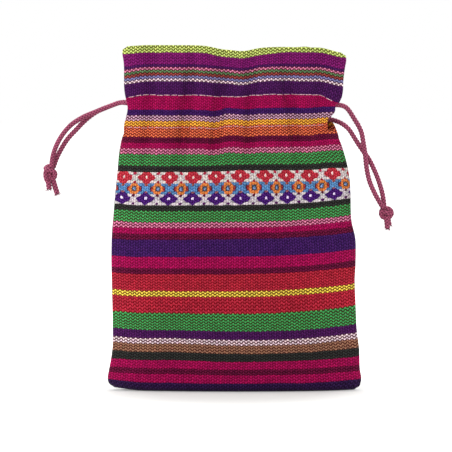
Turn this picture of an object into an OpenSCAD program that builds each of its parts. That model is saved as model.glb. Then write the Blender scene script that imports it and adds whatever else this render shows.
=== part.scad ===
// Drawstring pouch of striped hand-woven cloth with two drawcords.
// The base stands on z = 0, the front faces -Y and the height runs along +Z.

/* [Pouch] */
// Width across the two bottom corners
base_w = 130; // [108:1:156]
// Width of the body above the corners
body_w = 124; // [103:1:149]
// Height from the base to the foot of the side slits
slit_z = 131; // [109:1:158]
// Front-to-back depth of the flat base
base_depth = 26; // [21:0.5:32]
// Front-to-back depth of the belly
belly_depth = 33; // [27:0.5:40]
// Height of the fullest part of the belly
belly_z = 46; // [38:1:56]
// Height at which the body starts to narrow towards the waist
taper_z = 75; // [62:1:90]
// Thickness of the woven cloth
cloth_t = 1.2; // [1:0.1:1.5]
// Width of the seam allowance turned inside
seam_allowance = 8; // [6:0.2:10]
// Radius of the turn from the wall into the base
fold_r = 5; // [4:0.5:6]

/* [Mouth] */
// Width of the waist where the cords draw the casing in
waist_w = 104; // [88:1:125]
// Front-to-back depth of the neck
neck_depth = 22; // [20:0.5:27]
// Height from the foot of the slits to the lower row of stitching
casing_foot = 4; // [3:0.5:6]
// Height of the waist above the lower row of stitching
waist_rise = 10; // [8:0.5:12]
// Height of the casing between its two rows of stitching
casing_h = 17; // [14:0.2:21]
// Height of the heading above the casing
heading_h = 25; // [20:0.5:30]
// Width across the top of the heading
heading_w = 110; // [92:1:132]
// Outward lean of the heading at its top edge
heading_lean = 2; // [1:0.1:3]
// Half the depth left between the two lips at the slits
slit_half_gap = 7.2; // [6.5:0.1:8]
// Sideways offset of each lip towards its own left
lip_shift = 2.4; // [1:0.1:3]
// Angle that the mouth can close, for which the lip's foot is relieved
close_angle = 5; // [3:0.5:6]

/* [Drawcords] */
// Diameter of the braided cord
cord_d = 2.5; // [2:0.1:3]
// Play of the cord inside the casing on each side
cord_play = 0.35; // [0.3:0.05:0.5]
// Width of the left knot
left_knot_w = 7.2; // [6:0.1:9]
// Height of the left knot
left_knot_h = 9.8; // [8:0.1:12]
// Width of the right knot
right_knot_w = 7.6; // [6:0.1:9]
// Height of the right knot
right_knot_h = 7.2; // [6:0.1:9]

/* [Stitching] */
// Distance from one stitch to the next
stitch_pitch = 3.6; // [3:0.1:5]
// Length of one stitch
stitch_len = 2.8; // [2:0.1:2.9]
// Diameter of the sewing thread
thread_d = 0.7; // [0.5:0.1:0.9]

/* [Hidden] */
// Colours of the cloth's main stripe, the seams, the cords and the threads
cloth_color = "#8c1a45";
heading_color = "#6c165e";
casing_color = "#c3802a";
seam_color = "#3a1a56";
cord_color = "#7d2c48";
thread_color = "#d9c3cf";

// Small gaps between neighbouring pieces
seam_gap = 0.2;
fit_gap = 0.3;
stitch_gap = 0.15;

// Heights of the main lines above the base
lower_row_z = slit_z + casing_foot;
upper_row_z = lower_row_z + casing_h;
top_z = upper_row_z + heading_h;
waist_z = lower_row_z + waist_rise;

// Outline of the corners at the base
corner_r = 4;
flare_h = 40;
taper_power = 1.35;
heading_power = 2.2;

// Section of the pouch: a lens whose ends get blunter towards the neck
lens_power = 2.4;
neck_power = 5;
lens_end_power = 0.7;
neck_end_power = 0.95;
least_fullness = 0.02;
seam_inset = 1.6;
seam_edge = 1.6;

// Casing: the space between its two layers holds the cords
casing_gap = cord_d + 2 * cord_play;
turn_inset = 9.5;
turn_reach = 6;
exit_inset = 1.5;
turn_x = waist_w / 2 - turn_inset;
inner_half_w = turn_x - exit_inset;

// Heights of the four cord runs, from the rows of stitching that they run along
left_front_drop = 3.5;
left_back_drop = 3;
right_back_rise = 5.4;
run_gap = 0.8;
left_front_z = upper_row_z - left_front_drop;
left_back_z = upper_row_z - left_back_drop;
right_front_z = left_front_z - cord_d - run_gap;
right_back_z = lower_row_z + right_back_rise;

// Grid counts of the cloth and the cords
columns = 12;
lip_columns = 10;
cord_sides = 8;
run_rings = 16;
turn_rings = 9;
lead_rings = 7;
knot_rings = 12;

// Where each free strand starts, out from the casing's end and down from its run
lead_half_gap = 1.6;
lead_straight = 5.5;
lead_bend = 3;
left_reach = 10.6;
left_drop = 3.3;
right_reach = 8.2;
right_front_drop = 7.5;
right_back_drop = 12.2;
left_start = [-(half_w(left_front_z) + lip_shift + left_reach), 0, left_front_z - left_drop];
right_start_x = half_w(right_front_z) + lip_shift + right_reach;
right_front_start = [right_start_x, 0, right_front_z - right_front_drop];
right_back_start = [right_start_x, 0, right_back_z - right_back_drop];

// Directions in which the free cords are pulled
left_pull_angle = 21;
right_pull_angle = 58;
left_pull = [-cos(left_pull_angle), 0, -sin(left_pull_angle)];
right_pull = [cos(right_pull_angle), 0, -sin(right_pull_angle)];

// Routes of the free strands as [x, z] steps from where each one starts
left_front_route = [
    [0, 0], [-5, -2], [-12, -5], [-18, -9], [-23, -15], [-26, -21], [-27.2, -25], [-27.7, -28.4]
];
left_back_route = [
    [0, 0], [-4.5, -2], [-9.5, -5.5], [-15, -11], [-20, -16.5], [-23.3, -21.8], [-25.3, -25.8], [-26.5, -28.4]
];
right_front_route = [
    [0, 0], [2.5, -5], [3.5, -10], [4.5, -16.5], [5.2, -23], [6.7, -30], [9.5, -36.5], [13.2, -42.3]
];
right_back_route = [
    [0, 0], [3, -4.5], [6.5, -9.5], [9.5, -15.5], [12, -22], [13.6, -27.8], [14.3, -33]
];
left_knot_step = [-28.6, -33.7];
right_knot_step = [15.5, -37];
left_end_routes = [
    [[-0.6, -5.2], [-0.9, -7], [-0.5, -9]],
    [[1.2, -4.9], [2.6, -8], [4, -11.5]]
];
right_end_routes = [
    [[0.2, -4], [0.6, -6], [0.4, -8.3]],
    [[-1.4, -3.8], [-1.2, -5.4], [-0.6, -7]]
];

// Blends between values
function mix(a, b, t) = a + (b - a) * t;
function ease(t) = let (c = min(max(t, 0), 1)) c * c * (3 - 2 * c);

// Half the width of the bag at height z
function corner_cut(z) = z < corner_r ? corner_r - sqrt(corner_r ^ 2 - (corner_r - z) ^ 2) : 0;
function body_half_w(z) = mix(base_w, body_w, ease(z / flare_h)) / 2 - corner_cut(z);
function taper_half_w(z) =
    mix(body_w, waist_w, ((z - taper_z) / (waist_z - taper_z)) ^ taper_power) / 2;
function heading_half_w(z) =
    mix(waist_w, heading_w, 1 - (1 - min(1, (z - waist_z) / (top_z - waist_z))) ^ heading_power) / 2;
function half_w(z) =
    z <= taper_z ? body_half_w(z) : z <= waist_z ? taper_half_w(z) : heading_half_w(z);

// Half the depth of the bag at height z, at the middle of its width
function lean(z) = heading_lean * max(0, (z - upper_row_z) / heading_h) ^ 2;
function half_d(z) =
    z <= belly_z ? mix(base_depth, belly_depth, ease(z / belly_z)) / 2
    : mix(belly_depth, neck_depth, ease((z - belly_z) / (slit_z - belly_z))) / 2 + lean(z);

// Share of the depth that is left at the place u, from -1 to 1 across the width
function fullness(u, z) =
    let (
        rise = ease((z - taper_z) / (slit_z - taper_z)),
        power = mix(lens_power, neck_power, rise),
        end_power = mix(lens_end_power, neck_end_power, rise)
    )
    max(least_fullness, (1 - min(1, abs(u)) ^ power) ^ end_power);

// A point of the front panel: share r of the depth, with the wall set in by inset
function panel_point(u, r, z, inset) = [
    (half_w(z) - seam_inset * inset) * u,
    -(seam_gap / 2 + r * (half_d(z) - inset) * fullness(u, z)),
    z
];

// Depth of the lip's ends and its sideways shift, which both grow above the slit's foot
function lip_edge(z) = mix(seam_edge, slit_half_gap, ease((z - slit_z) / (2 * casing_foot)));
function lip_offset(z) = lip_shift * ease((z - slit_z) / casing_foot / 3);
function lip_u(x, z) = (x + lip_offset(z)) / half_w(z);
function lip_depth(u, z) = lip_edge(z) + (half_d(z) - lip_edge(z)) * fullness(u, z);

// A point of the front lip, set in from its outer face
function lip_point(u, z, inset) = [half_w(z) * u - lip_offset(z), inset - lip_depth(u, z), z];

// Height of the lip's foot, relieved towards the inside so that the mouth can close
function foot_z(u, inset) =
    let (y = lip_depth(u, slit_z + fit_gap) - inset)
    slit_z + fit_gap + max(0, neck_depth / 2 - y) * tan(close_angle);

// Places across the width, closer together towards the ends
function spread(count) = [for (i = [-count : count]) sin(90 * i / count)];

// One closed solid between two grids of points, row by row
module cloth_solid(outer, inner) {
    rows = len(outer);
    cols = len(outer[0]);
    size = rows * cols;
    points = concat([for (row = outer) each row], [for (row = inner) each row]);
    faces = [
        for (i = [0 : rows - 2], j = [0 : cols - 2])
            let (a = i * cols + j, b = a + 1, c = a + cols, d = c + 1)
            each [[a, c, b], [b, c, d], [size + a, size + b, size + c], [size + b, size + d, size + c]],
        for (j = [0 : cols - 2])
            let (a = j, b = j + 1, c = (rows - 1) * cols + j, d = c + 1)
            each [[a, b, size + a], [b, size + b, size + a], [c, size + c, d], [d, size + c, size + d]],
        for (i = [0 : rows - 2])
            let (a = i * cols, b = a + cols, c = a + cols - 1, d = c + cols)
            each [[a, size + a, b], [b, size + a, size + b], [c, d, size + c], [d, size + d, size + c]]
    ];
    polyhedron(points, faces);
}

// Cross section of a cord round a point of its path
function unit(v) = v / norm(v);
function tangent(path, i) =
    unit(path[min(i + 1, len(path) - 1)] - path[max(i - 1, 0)]);
function ring(path, i, up) =
    let (t = tangent(path, i), side = unit(cross(up, t)), top = cross(t, side))
    [for (k = [0 : cord_sides - 1])
        path[i] + cord_d / 2 * (cos(360 * k / cord_sides) * side + sin(360 * k / cord_sides) * top)];

// A cord swept along a path, whose rings stand round the direction up
module cord(path, up) {
    n = cord_sides;
    last = (len(path) - 1) * n;
    faces = [
        for (i = [0 : len(path) - 2], k = [0 : n - 1])
            let (a = i * n + k, b = i * n + (k + 1) % n)
            each [[a, a + n, b], [b, a + n, b + n]],
        for (k = [1 : n - 2]) [0, k, k + 1],
        for (k = [1 : n - 2]) [last, last + k + 1, last + k]
    ];
    color(cord_color)
        polyhedron([for (i = [0 : len(path) - 1]) each ring(path, i, up)], faces);
}

// A smooth curve from p to q with its end directions
function bezier(p, p_out, q_in, q, t) =
    (1 - t) ^ 3 * p + 3 * (1 - t) ^ 2 * t * p_out + 3 * (1 - t) * t ^ 2 * q_in + t ^ 3 * q;

// Centre line of the space inside the front casing
function casing_point(x, z) =
    [x, cloth_t + casing_gap / 2 - lip_depth(lip_u(x, z), z), z];
// The same in the back casing
function back_casing_point(x, z) =
    let (p = casing_point(-x, z)) [-p[0], -p[1], z];

// Ends of the runs where the cords leave the casing
function front_exit(x_sign, z) = x_sign * (half_w(z) - exit_inset) - lip_shift;
function back_exit(x_sign, z) = -front_exit(-x_sign, z);

// Grids of the front panel's outer and inner faces, from the bottom seam up to the neck
base_shares = [0, 0.3];
fold_angles = [0 : 22.5 : 90];
wall_steps = [0.02, 0.06, 0.12, 0.2, 0.3, 0.4, 0.5, 0.6, 0.7, 0.78, 0.86, 0.93, 1];
function fold_share(a, r, depth) = 1 - r / depth * (1 - sin(a));
function panel_rows(inset) =
    let (r = fold_r - inset, depth = base_depth / 2 - inset, u_list = spread(columns))
    [
        for (share = base_shares)
            [for (u = u_list) panel_point(u, share * fold_share(0, r, depth), inset, inset)],
        for (a = fold_angles)
            [for (u = u_list) panel_point(u, fold_share(a, r, depth), inset + r * (1 - cos(a)), inset)],
        for (s = wall_steps)
            [for (u = u_list) panel_point(u, 1, mix(fold_r, slit_z, s), inset)]
    ];

module wall_panel() {
    color(cloth_color)
        cloth_solid(panel_rows(0), panel_rows(cloth_t));
}

module front_panel() {
    wall_panel();
}

module back_panel() {
    rotate(180)
        wall_panel();
}

// Seam allowances: two layers of cloth turned inside, between the panels
allowance_t = 2 * cloth_t;
seam_clear = seam_inset * cloth_t + seam_edge;
seam_foot_z = cloth_t + fit_gap + seam_allowance;
seam_end_gap = 1;
seam_steps = [for (i = [0 : 12]) i / 12];
function seam_x(z) = half_w(z) - seam_clear;
function seam_z(s) = mix(seam_foot_z, slit_z - seam_end_gap, s);
function seam_row(y) = [
    for (s = seam_steps)
        let (z = seam_z(s))
        [[seam_x(z), y, z], [seam_x(z) - seam_allowance, y, z]]
];

module side_seam() {
    color(seam_color)
        cloth_solid(seam_row(-allowance_t / 2), seam_row(allowance_t / 2));
}

module left_side_seam() {
    rotate(180)
        side_seam();
}

module right_side_seam() {
    side_seam();
}

// The bottom seam stands up inside, along the middle of the base
bottom_seam_inset = 14;
bottom_seam_half = base_w / 2 - bottom_seam_inset;

module bottom_seam() {
    color(seam_color)
        translate([-bottom_seam_half, -allowance_t / 2, cloth_t + fit_gap])
            cube([2 * bottom_seam_half, allowance_t, seam_allowance - seam_end_gap]);
}

// One stitch between two places, laid on the cloth
module stitch(from, to) {
    step = to - from;
    middle = (from + to) / 2;
    color(thread_color)
        translate(middle)
            rotate([0, acos(step[2] / norm(step)), atan2(step[1], step[0])])
                cylinder(h = stitch_len, d = thread_d, center = true, $fn = 16);
}

// Rows of stitches through the seam allowances
seam_row_y = -(allowance_t / 2 + stitch_gap + thread_d / 2);
seam_row_inset = 3;
row_margin = 2;

module side_seam_stitching() {
    count = floor((slit_z - seam_foot_z - 2 * row_margin) / stitch_pitch);
    for (i = [0 : count - 1]) {
        z = seam_foot_z + row_margin + i * stitch_pitch;
        end_z = z + stitch_len;
        stitch(
            [seam_x(z) - seam_row_inset, seam_row_y, z],
            [seam_x(end_z) - seam_row_inset, seam_row_y, end_z]
        );
    }
}

module left_seam_stitching() {
    rotate(180)
        side_seam_stitching();
}

module right_seam_stitching() {
    side_seam_stitching();
}

module bottom_seam_stitching() {
    z = cloth_t + fit_gap + seam_allowance / 3;
    count = floor((2 * bottom_seam_half - 2 * row_margin) / stitch_pitch);
    start = -count * stitch_pitch / 2;
    for (i = [0 : count - 1]) {
        x = start + i * stitch_pitch;
        stitch([x, seam_row_y, z], [x + stitch_len, seam_row_y, z]);
    }
}

// Outer layer of a lip's casing
casing_heights = [for (s = [0.25, 0.5, 0.75, 1]) mix(lower_row_z, upper_row_z, s)];
function casing_rows(inset) =
    let (u_list = spread(lip_columns))
    [
        [for (u = u_list) let (p = lip_point(u, slit_z + fit_gap, inset)) [p[0], p[1], foot_z(u, inset)]],
        [for (u = u_list) lip_point(u, lower_row_z, inset)],
        for (z = casing_heights) [for (u = u_list) lip_point(u, z, inset)]
    ];

module casing_outer() {
    color(casing_color)
        cloth_solid(casing_rows(0), casing_rows(cloth_t));
}

// Inner layer of the casing, sewn to the outer one along both rows and bulging between them
bulge_heights = [
    [0, 0], [1.2, 0], [3.2, 1], [casing_h / 2, 1], [casing_h - 1.8, 1], [casing_h - 0.4, 0]
];
function inner_rows(inset) = [
    for (step = bulge_heights)
        let (z = lower_row_z + step[0], gap = mix(fit_gap, casing_gap, step[1]))
        [for (s = spread(lip_columns)) lip_point(lip_u(s * inner_half_w, z), z, cloth_t + gap + inset)]
];

module casing_inner() {
    color(heading_color)
        cloth_solid(inner_rows(0), inner_rows(cloth_t));
}

// Heading: the doubled edge above the casing, rounded over at its top fold
edge_round = 0.8;
heading_steps = [
    [0, 0], [0.2, 0], [0.4, 0], [0.6, 0], [0.8, 0], [1 - edge_round / heading_h, 0], [1, 1]
];
function heading_rows(inset, sign) = [
    for (step = heading_steps)
        let (z = mix(upper_row_z + fit_gap, top_z, step[0]))
        [for (u = spread(lip_columns)) lip_point(u, z, inset + sign * step[1] * edge_round)]
];

module heading() {
    color(heading_color)
        cloth_solid(heading_rows(0, 1), heading_rows(allowance_t, -1));
}

// A row of stitches along the outside of a lip
lip_row_margin = 2.5;
module lip_stitching(z) {
    half = half_w(z) - lip_row_margin;
    count = floor(2 * half / stitch_pitch);
    for (i = [0 : count - 1]) {
        x = (i - count / 2) * stitch_pitch - lip_offset(z);
        stitch(stitch_point(x, z), stitch_point(x + stitch_len, z));
    }
}
function stitch_point(x, z) =
    [x, -lip_depth(lip_u(x, z), z) - stitch_gap - thread_d / 2, z];

upper_stitch_drop = 0.2;
lower_stitch_rise = 0.6;
upper_stitch_z = upper_row_z - upper_stitch_drop;
lower_stitch_z = lower_row_z + lower_stitch_rise;

module front_heading() {
    heading();
}

module front_casing_outer() {
    casing_outer();
}

module front_casing_inner() {
    casing_inner();
}

module front_upper_stitching() {
    lip_stitching(upper_stitch_z);
}

module front_lower_stitching() {
    lip_stitching(lower_stitch_z);
}

module back_heading() {
    rotate(180)
        heading();
}

module back_casing_outer() {
    rotate(180)
        casing_outer();
}

module back_casing_inner() {
    rotate(180)
        casing_inner();
}

module back_upper_stitching() {
    rotate(180)
        lip_stitching(upper_stitch_z);
}

module back_lower_stitching() {
    rotate(180)
        lip_stitching(lower_stitch_z);
}

// Runs of the cords inside the casings, from where they leave to where they turn
upright = [0, 0, 1];
sideways = [0, 1, 0];
function front_run(from, to, z) =
    [for (i = [0 : run_rings]) casing_point(mix(from, to, i / run_rings), z)];
function back_run(from, to, z) =
    [for (i = [0 : run_rings]) back_casing_point(mix(from, to, i / run_rings), z)];

// The turn that takes a cord from the front casing to the back one, inside a side slit
function turn_path(side, front_z, back_z) =
    let (p = casing_point(side * turn_x, front_z), q = back_casing_point(side * turn_x, back_z))
    [
        for (i = [0 : turn_rings])
            let (a = 180 * i / turn_rings, s = (1 - cos(a)) / 2)
            [side * (turn_x + fit_gap + turn_reach * sin(a)), mix(p[1], q[1], s), mix(front_z, back_z, s)]
    ];

// Leads from the casing's ends, where the runs start, to the start of the free strands
function lead_path(run, start, pull, y) =
    let (
        out = unit(run[0] - run[1]),
        p = run[0] + fit_gap * out,
        to = start + [0, y, 0] - fit_gap * pull,
        bend_end = to - lead_straight * pull
    )
    [
        for (i = [0 : lead_rings])
            bezier(p, p + lead_bend * out, bend_end - lead_bend * pull, bend_end, i / lead_rings),
        to
    ];

// Free strands, from their start to the knot
function strand_path(start, route, y) = [for (step = route) start + [step[0], y, step[1]]];
function knot_place(start, step) = start + [step[0], 0, step[1]];
function end_path(place, route, y) = [for (step = route) place + [step[0], y, step[1]]];

left_knot_place = knot_place(left_start, left_knot_step);
right_knot_place = knot_place(right_back_start, right_knot_step);

// A tied knot: a rounded barrel on the line of the cord
module knot(place, w, h) {
    color(cord_color)
        translate(place)
            rotate_extrude($fn = 24)
                polygon([for (i = [0 : knot_rings])
                    let (a = mix(-90, 90, i / knot_rings))
                    [max(0, w / 2 * cos(a)), h / 2 * sin(a)]]);
}

left_front_run = front_run(front_exit(-1, left_front_z), turn_x, left_front_z);
left_back_run = back_run(back_exit(-1, left_back_z), turn_x, left_back_z);
right_front_run = front_run(front_exit(1, right_front_z), -turn_x, right_front_z);
right_back_run = back_run(back_exit(1, right_back_z), -turn_x, right_back_z);

module left_cord_front_run() {
    cord(left_front_run, upright);
}

module left_cord_back_run() {
    cord(left_back_run, upright);
}

module left_cord_turn() {
    cord(turn_path(1, left_front_z, left_back_z), upright);
}

module left_cord_front_lead() {
    cord(lead_path(left_front_run, left_start, left_pull, -lead_half_gap), upright);
}

module left_cord_back_lead() {
    cord(lead_path(left_back_run, left_start, left_pull, lead_half_gap), upright);
}

module left_cord_front_strand() {
    cord(strand_path(left_start, left_front_route, -lead_half_gap), sideways);
}

module left_cord_back_strand() {
    cord(strand_path(left_start, left_back_route, lead_half_gap), sideways);
}

module left_cord_knot() {
    knot(left_knot_place, left_knot_w, left_knot_h);
}

module left_cord_front_end() {
    cord(end_path(left_knot_place, left_end_routes[0], -lead_half_gap), sideways);
}

module left_cord_back_end() {
    cord(end_path(left_knot_place, left_end_routes[1], lead_half_gap), sideways);
}

module right_cord_front_run() {
    cord(right_front_run, upright);
}

module right_cord_back_run() {
    cord(right_back_run, upright);
}

module right_cord_turn() {
    cord(turn_path(-1, right_front_z, right_back_z), upright);
}

module right_cord_front_lead() {
    cord(lead_path(right_front_run, right_front_start, right_pull, -lead_half_gap), sideways);
}

module right_cord_back_lead() {
    cord(lead_path(right_back_run, right_back_start, right_pull, lead_half_gap), sideways);
}

module right_cord_front_strand() {
    cord(strand_path(right_front_start, right_front_route, -lead_half_gap), sideways);
}

module right_cord_back_strand() {
    cord(strand_path(right_back_start, right_back_route, lead_half_gap), sideways);
}

module right_cord_knot() {
    knot(right_knot_place, right_knot_w, right_knot_h);
}

module right_cord_front_end() {
    cord(end_path(right_knot_place, right_end_routes[0], -lead_half_gap), sideways);
}

module right_cord_back_end() {
    cord(end_path(right_knot_place, right_end_routes[1], lead_half_gap), sideways);
}

front_panel();
back_panel();
left_side_seam();
right_side_seam();
bottom_seam();
left_seam_stitching();
right_seam_stitching();
bottom_seam_stitching();
front_heading();
front_casing_outer();
front_casing_inner();
front_upper_stitching();
front_lower_stitching();
back_heading();
back_casing_outer();
back_casing_inner();
back_upper_stitching();
back_lower_stitching();
left_cord_front_run();
left_cord_back_run();
left_cord_turn();
left_cord_front_lead();
left_cord_back_lead();
left_cord_front_strand();
left_cord_back_strand();
left_cord_knot();
left_cord_front_end();
left_cord_back_end();
right_cord_front_run();
right_cord_back_run();
right_cord_turn();
right_cord_front_lead();
right_cord_back_lead();
right_cord_front_strand();
right_cord_back_strand();
right_cord_knot();
right_cord_front_end();
right_cord_back_end();
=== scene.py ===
"""Drawstring pouch of striped hand-woven cloth with two knotted drawcords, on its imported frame."""
import logging
from collections.abc import Callable
from dataclasses import dataclass, field
from enum import Enum
from functools import partial

import bpy
import numpy as np
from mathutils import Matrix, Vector


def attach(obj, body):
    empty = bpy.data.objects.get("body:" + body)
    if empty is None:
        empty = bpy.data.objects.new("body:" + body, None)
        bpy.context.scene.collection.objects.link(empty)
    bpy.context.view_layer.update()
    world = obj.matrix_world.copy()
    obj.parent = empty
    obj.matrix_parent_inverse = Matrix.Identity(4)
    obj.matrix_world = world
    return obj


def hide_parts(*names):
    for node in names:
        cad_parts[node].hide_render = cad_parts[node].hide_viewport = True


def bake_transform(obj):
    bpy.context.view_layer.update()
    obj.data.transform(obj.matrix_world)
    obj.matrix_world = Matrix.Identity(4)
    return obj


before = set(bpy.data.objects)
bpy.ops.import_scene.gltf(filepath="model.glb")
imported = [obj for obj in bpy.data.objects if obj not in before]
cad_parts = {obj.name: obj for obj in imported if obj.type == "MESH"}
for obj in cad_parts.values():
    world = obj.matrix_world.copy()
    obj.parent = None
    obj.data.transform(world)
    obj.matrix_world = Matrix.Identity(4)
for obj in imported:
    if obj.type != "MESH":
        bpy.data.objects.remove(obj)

Array = np.ndarray
Number = Array | float
Point = tuple[float, float, float]
Keys = tuple[tuple[float, float], ...]
Mesh = tuple[Array, list, Array]
Shape = Callable[[Array], Array]
Material, Node, Tree, Piece = bpy.types.Material, bpy.types.Node, bpy.types.NodeTree, bpy.types.Object

LOG = logging.getLogger("pouch")
MM = 0.001
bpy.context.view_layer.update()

# Heights of the pouch's main lines above the table, in millimetres.
SLIT = 131.0
LOWER_ROW = 135.4
UPPER_ROW = 152.0
TOP = 177.0
# Half the width of the flat cut, which the weave is counted along.
CUT_HALF = 62.0
# How far the turned side edge stands past the last column of the sheet.
EDGE = 0.45


class Side(Enum):
    """Which face of the pouch a piece belongs to, with the sign of its x and y."""

    FRONT = 1
    BACK = -1

    @property
    def word(self) -> str:
        """The side in lower case, as the frame's names have it."""
        return self.name.lower()

    @property
    def lip(self) -> str:
        """Name of the body that carries this side's lip of the mouth."""
        return f"{self.word}_mouth"


class Hand(Enum):
    """Which drawcord a piece belongs to, with the sign of x on its knotted side."""

    LEFT = -1
    RIGHT = 1

    @property
    def word(self) -> str:
        """The hand in lower case, as the frame's names have it."""
        return self.name.lower()


def ease(t: Number) -> Array:
    """Smooth step from 0 to 1."""
    t = np.clip(t, 0.0, 1.0)
    return t * t * (3.0 - 2.0 * t)


def bell(t: Number) -> Array:
    """Rounded bump of height 1 round t = 0."""
    return np.exp(-np.square(t))


def mix(a: Number, b: Number, t: Number) -> Array:
    """Value between a and b."""
    return a + (b - a) * t


def bump(place: float, width: float) -> Shape:
    """Share that is 1 at a place and fades to both sides."""
    return lambda v: bell((v - place) / width)


def rise(place: float, width: float) -> Shape:
    """Share that is 0 up to a place and 1 from a width past it."""
    return lambda v: ease((v - place) / width)


def fall(place: float, width: float) -> Shape:
    """Share that is 1 up to a width before a place and 0 from there on."""
    return lambda v: ease((place - v) / width)


def both(*shapes: Shape) -> Shape:
    """Product of several shares."""
    return lambda v: np.prod([shape(v) for shape in shapes], axis=0)


def through(keys: Keys, at: Number) -> Array:
    """Smooth curve through key points.

    Args:
        keys: Pairs of place and value, in rising order of place.
        at: Places at which the curve is read.

    Returns:
        The values at those places, held at the ends.
    """
    place, value = np.array(keys, float).T
    slope = np.gradient(value, place)
    i = np.clip(np.searchsorted(place, at) - 1, 0, len(place) - 2)
    step = place[i + 1] - place[i]
    t = np.clip((at - place[i]) / step, 0.0, 1.0)
    s = 1.0 - t
    return (
        s * s * (1.0 + 2.0 * t) * value[i]
        + s * s * t * step * slope[i]
        + t * t * (3.0 - 2.0 * t) * value[i + 1]
        - t * t * s * step * slope[i + 1]
    )


def travelled(points: Array) -> Array:
    """Distance along a line at each of its points."""
    return np.concatenate(([0.0], np.cumsum(np.linalg.norm(np.diff(points, axis=0), axis=1))))


def linear(code: str) -> tuple[float, float, float, float]:
    """Turn an sRGB colour to linear.

    Args:
        code: Hex colour such as "#a2a959".

    Returns:
        Its linear red, green and blue, with an alpha of 1.
    """
    parts = [int(code[i : i + 2], 16) / 255.0 for i in (1, 3, 5)]
    r, g, b = (c / 12.92 if c <= 0.04045 else ((c + 0.055) / 1.055) ** 2.4 for c in parts)
    return (r, g, b, 1.0)


def add(tree: Tree, kind: str, *inputs: object, named: dict | None = None, **settings: object) -> Node:
    """Add a shader node with its settings, constant inputs and links.

    Args:
        tree: Node tree of the material or world.
        kind: Node type without its ShaderNode prefix, with its operation after a dot where it has one.
        inputs: Constants, sockets or nodes for the inputs in use, in the node's own order; a node gives its
            first output in use.
        named: More of them, by the input's name.
        settings: Properties of the node, set before its inputs.

    Returns:
        The new node.
    """
    kind, _, operation = kind.partition(".")
    node = tree.nodes.new("ShaderNode" + kind)
    if operation:
        node.operation = operation
    for key, value in settings.items():
        setattr(node, key, value)
    used = [socket for socket in node.inputs if socket.enabled]
    pairs = list(zip(used, inputs))
    pairs += [(next(s for s in used if s.name == key), value) for key, value in (named or {}).items()]
    for socket, value in pairs:
        if isinstance(value, bpy.types.Node):
            value = next(s for s in value.outputs if s.enabled)
        if isinstance(value, bpy.types.NodeSocket):
            tree.links.new(value, socket)
        else:
            socket.default_value = value
    return node


def in_view(tree: Tree) -> Node:
    """Share of a surface's own glow: 1 for the camera and in reflections, 0 as a source of light."""
    path = add(tree, "LightPath").outputs
    return add(tree, "Math.MAXIMUM", path["Is Camera Ray"], path["Is Glossy Ray"])


def new_material(name: str) -> tuple[Material, Tree]:
    """Empty node material.

    Args:
        name: Name of the material.

    Returns:
        The material and its tree.
    """
    material = bpy.data.materials.new(name)
    material.use_nodes = True
    material.node_tree.nodes.clear()
    return material, material.node_tree


class Yarn(Enum):
    """Dyed yarns of the stripes: the lit yarn's colour and how light the painted shade in its hollows stays.
    """

    NAVY = ("#2c1640", 0.6)
    MAGENTA = ("#920a4a", 0.52)
    MAROON = ("#5a0e32", 0.5)
    BLACK = ("#282a28", 0.5)
    BROWN = ("#926852", 0.22)
    WHITE = ("#f2d8e0", 0.05)
    PURPLE = ("#40144a", 0.75)
    GREEN = ("#3a9c54", 0.12)
    RED = ("#a22436", 0.42)
    YELLOW = ("#f8da50", 0.06)
    INDIGO = ("#361650", 0.75)
    PINK = ("#d87ca0", 0.09)
    ORANGE = ("#e6724a", 0.1)
    GOLD = ("#fcb840", 0.11)
    LAVENDER = ("#d4a6c0", 0.05)
    SKY = ("#7a78a6", 0.22)
    BRICK = ("#8c3e3a", 0.24)
    SAGE = ("#5a7c54", 0.2)
    PLUM = ("#721860", 0.55)
    LIME = ("#ccdc78", 0.11)
    GROUND = ("#9e9498", 0.6)
    BLUE = ("#4c6c94", 0.6)

    @property
    def look(self) -> tuple[float, float, float, float]:
        """Linear RGB of the lit yarn, and half the share of its painted deeper shade that its hollows keep.
        """
        return (*linear(self.value[0])[:3], self.value[1])


@dataclass(frozen=True)
class Motif:
    """One oval of the flower band, in millimetres: place in the repeat, half sizes and yarn."""

    x: float
    y: float
    half_w: float
    half_h: float
    yarn: str


def flower(y: float, tip: float, yarn: str, heart: str) -> tuple[Motif, ...]:
    """Ovals of one woven flower: an upright petal set off by tip, a level one, a middle and a pale heart."""
    petals = ((tip, 2.5, 3.4), (0.0, 4.7, 2.1), (0.0, 3.7, 2.8))
    return (*(Motif(0.0, y + dy, w, h, yarn) for dy, w, h in petals), Motif(0.0, y, 0.6, 0.8, heart))


def ground(x: float, y: float, patch: str, tick: str) -> tuple[Motif, ...]:
    """Ovals of the ground between two flowers: a bright patch and the floats above and below it."""
    inward = 2.9 if x < 0.5 * FAR else -2.9
    return (Motif(x, y, 2.1, 1.5, patch), *(Motif(x + inward, y + dy, 2.6, 0.6, tick) for dy in (2.2, -2.2)))


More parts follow.
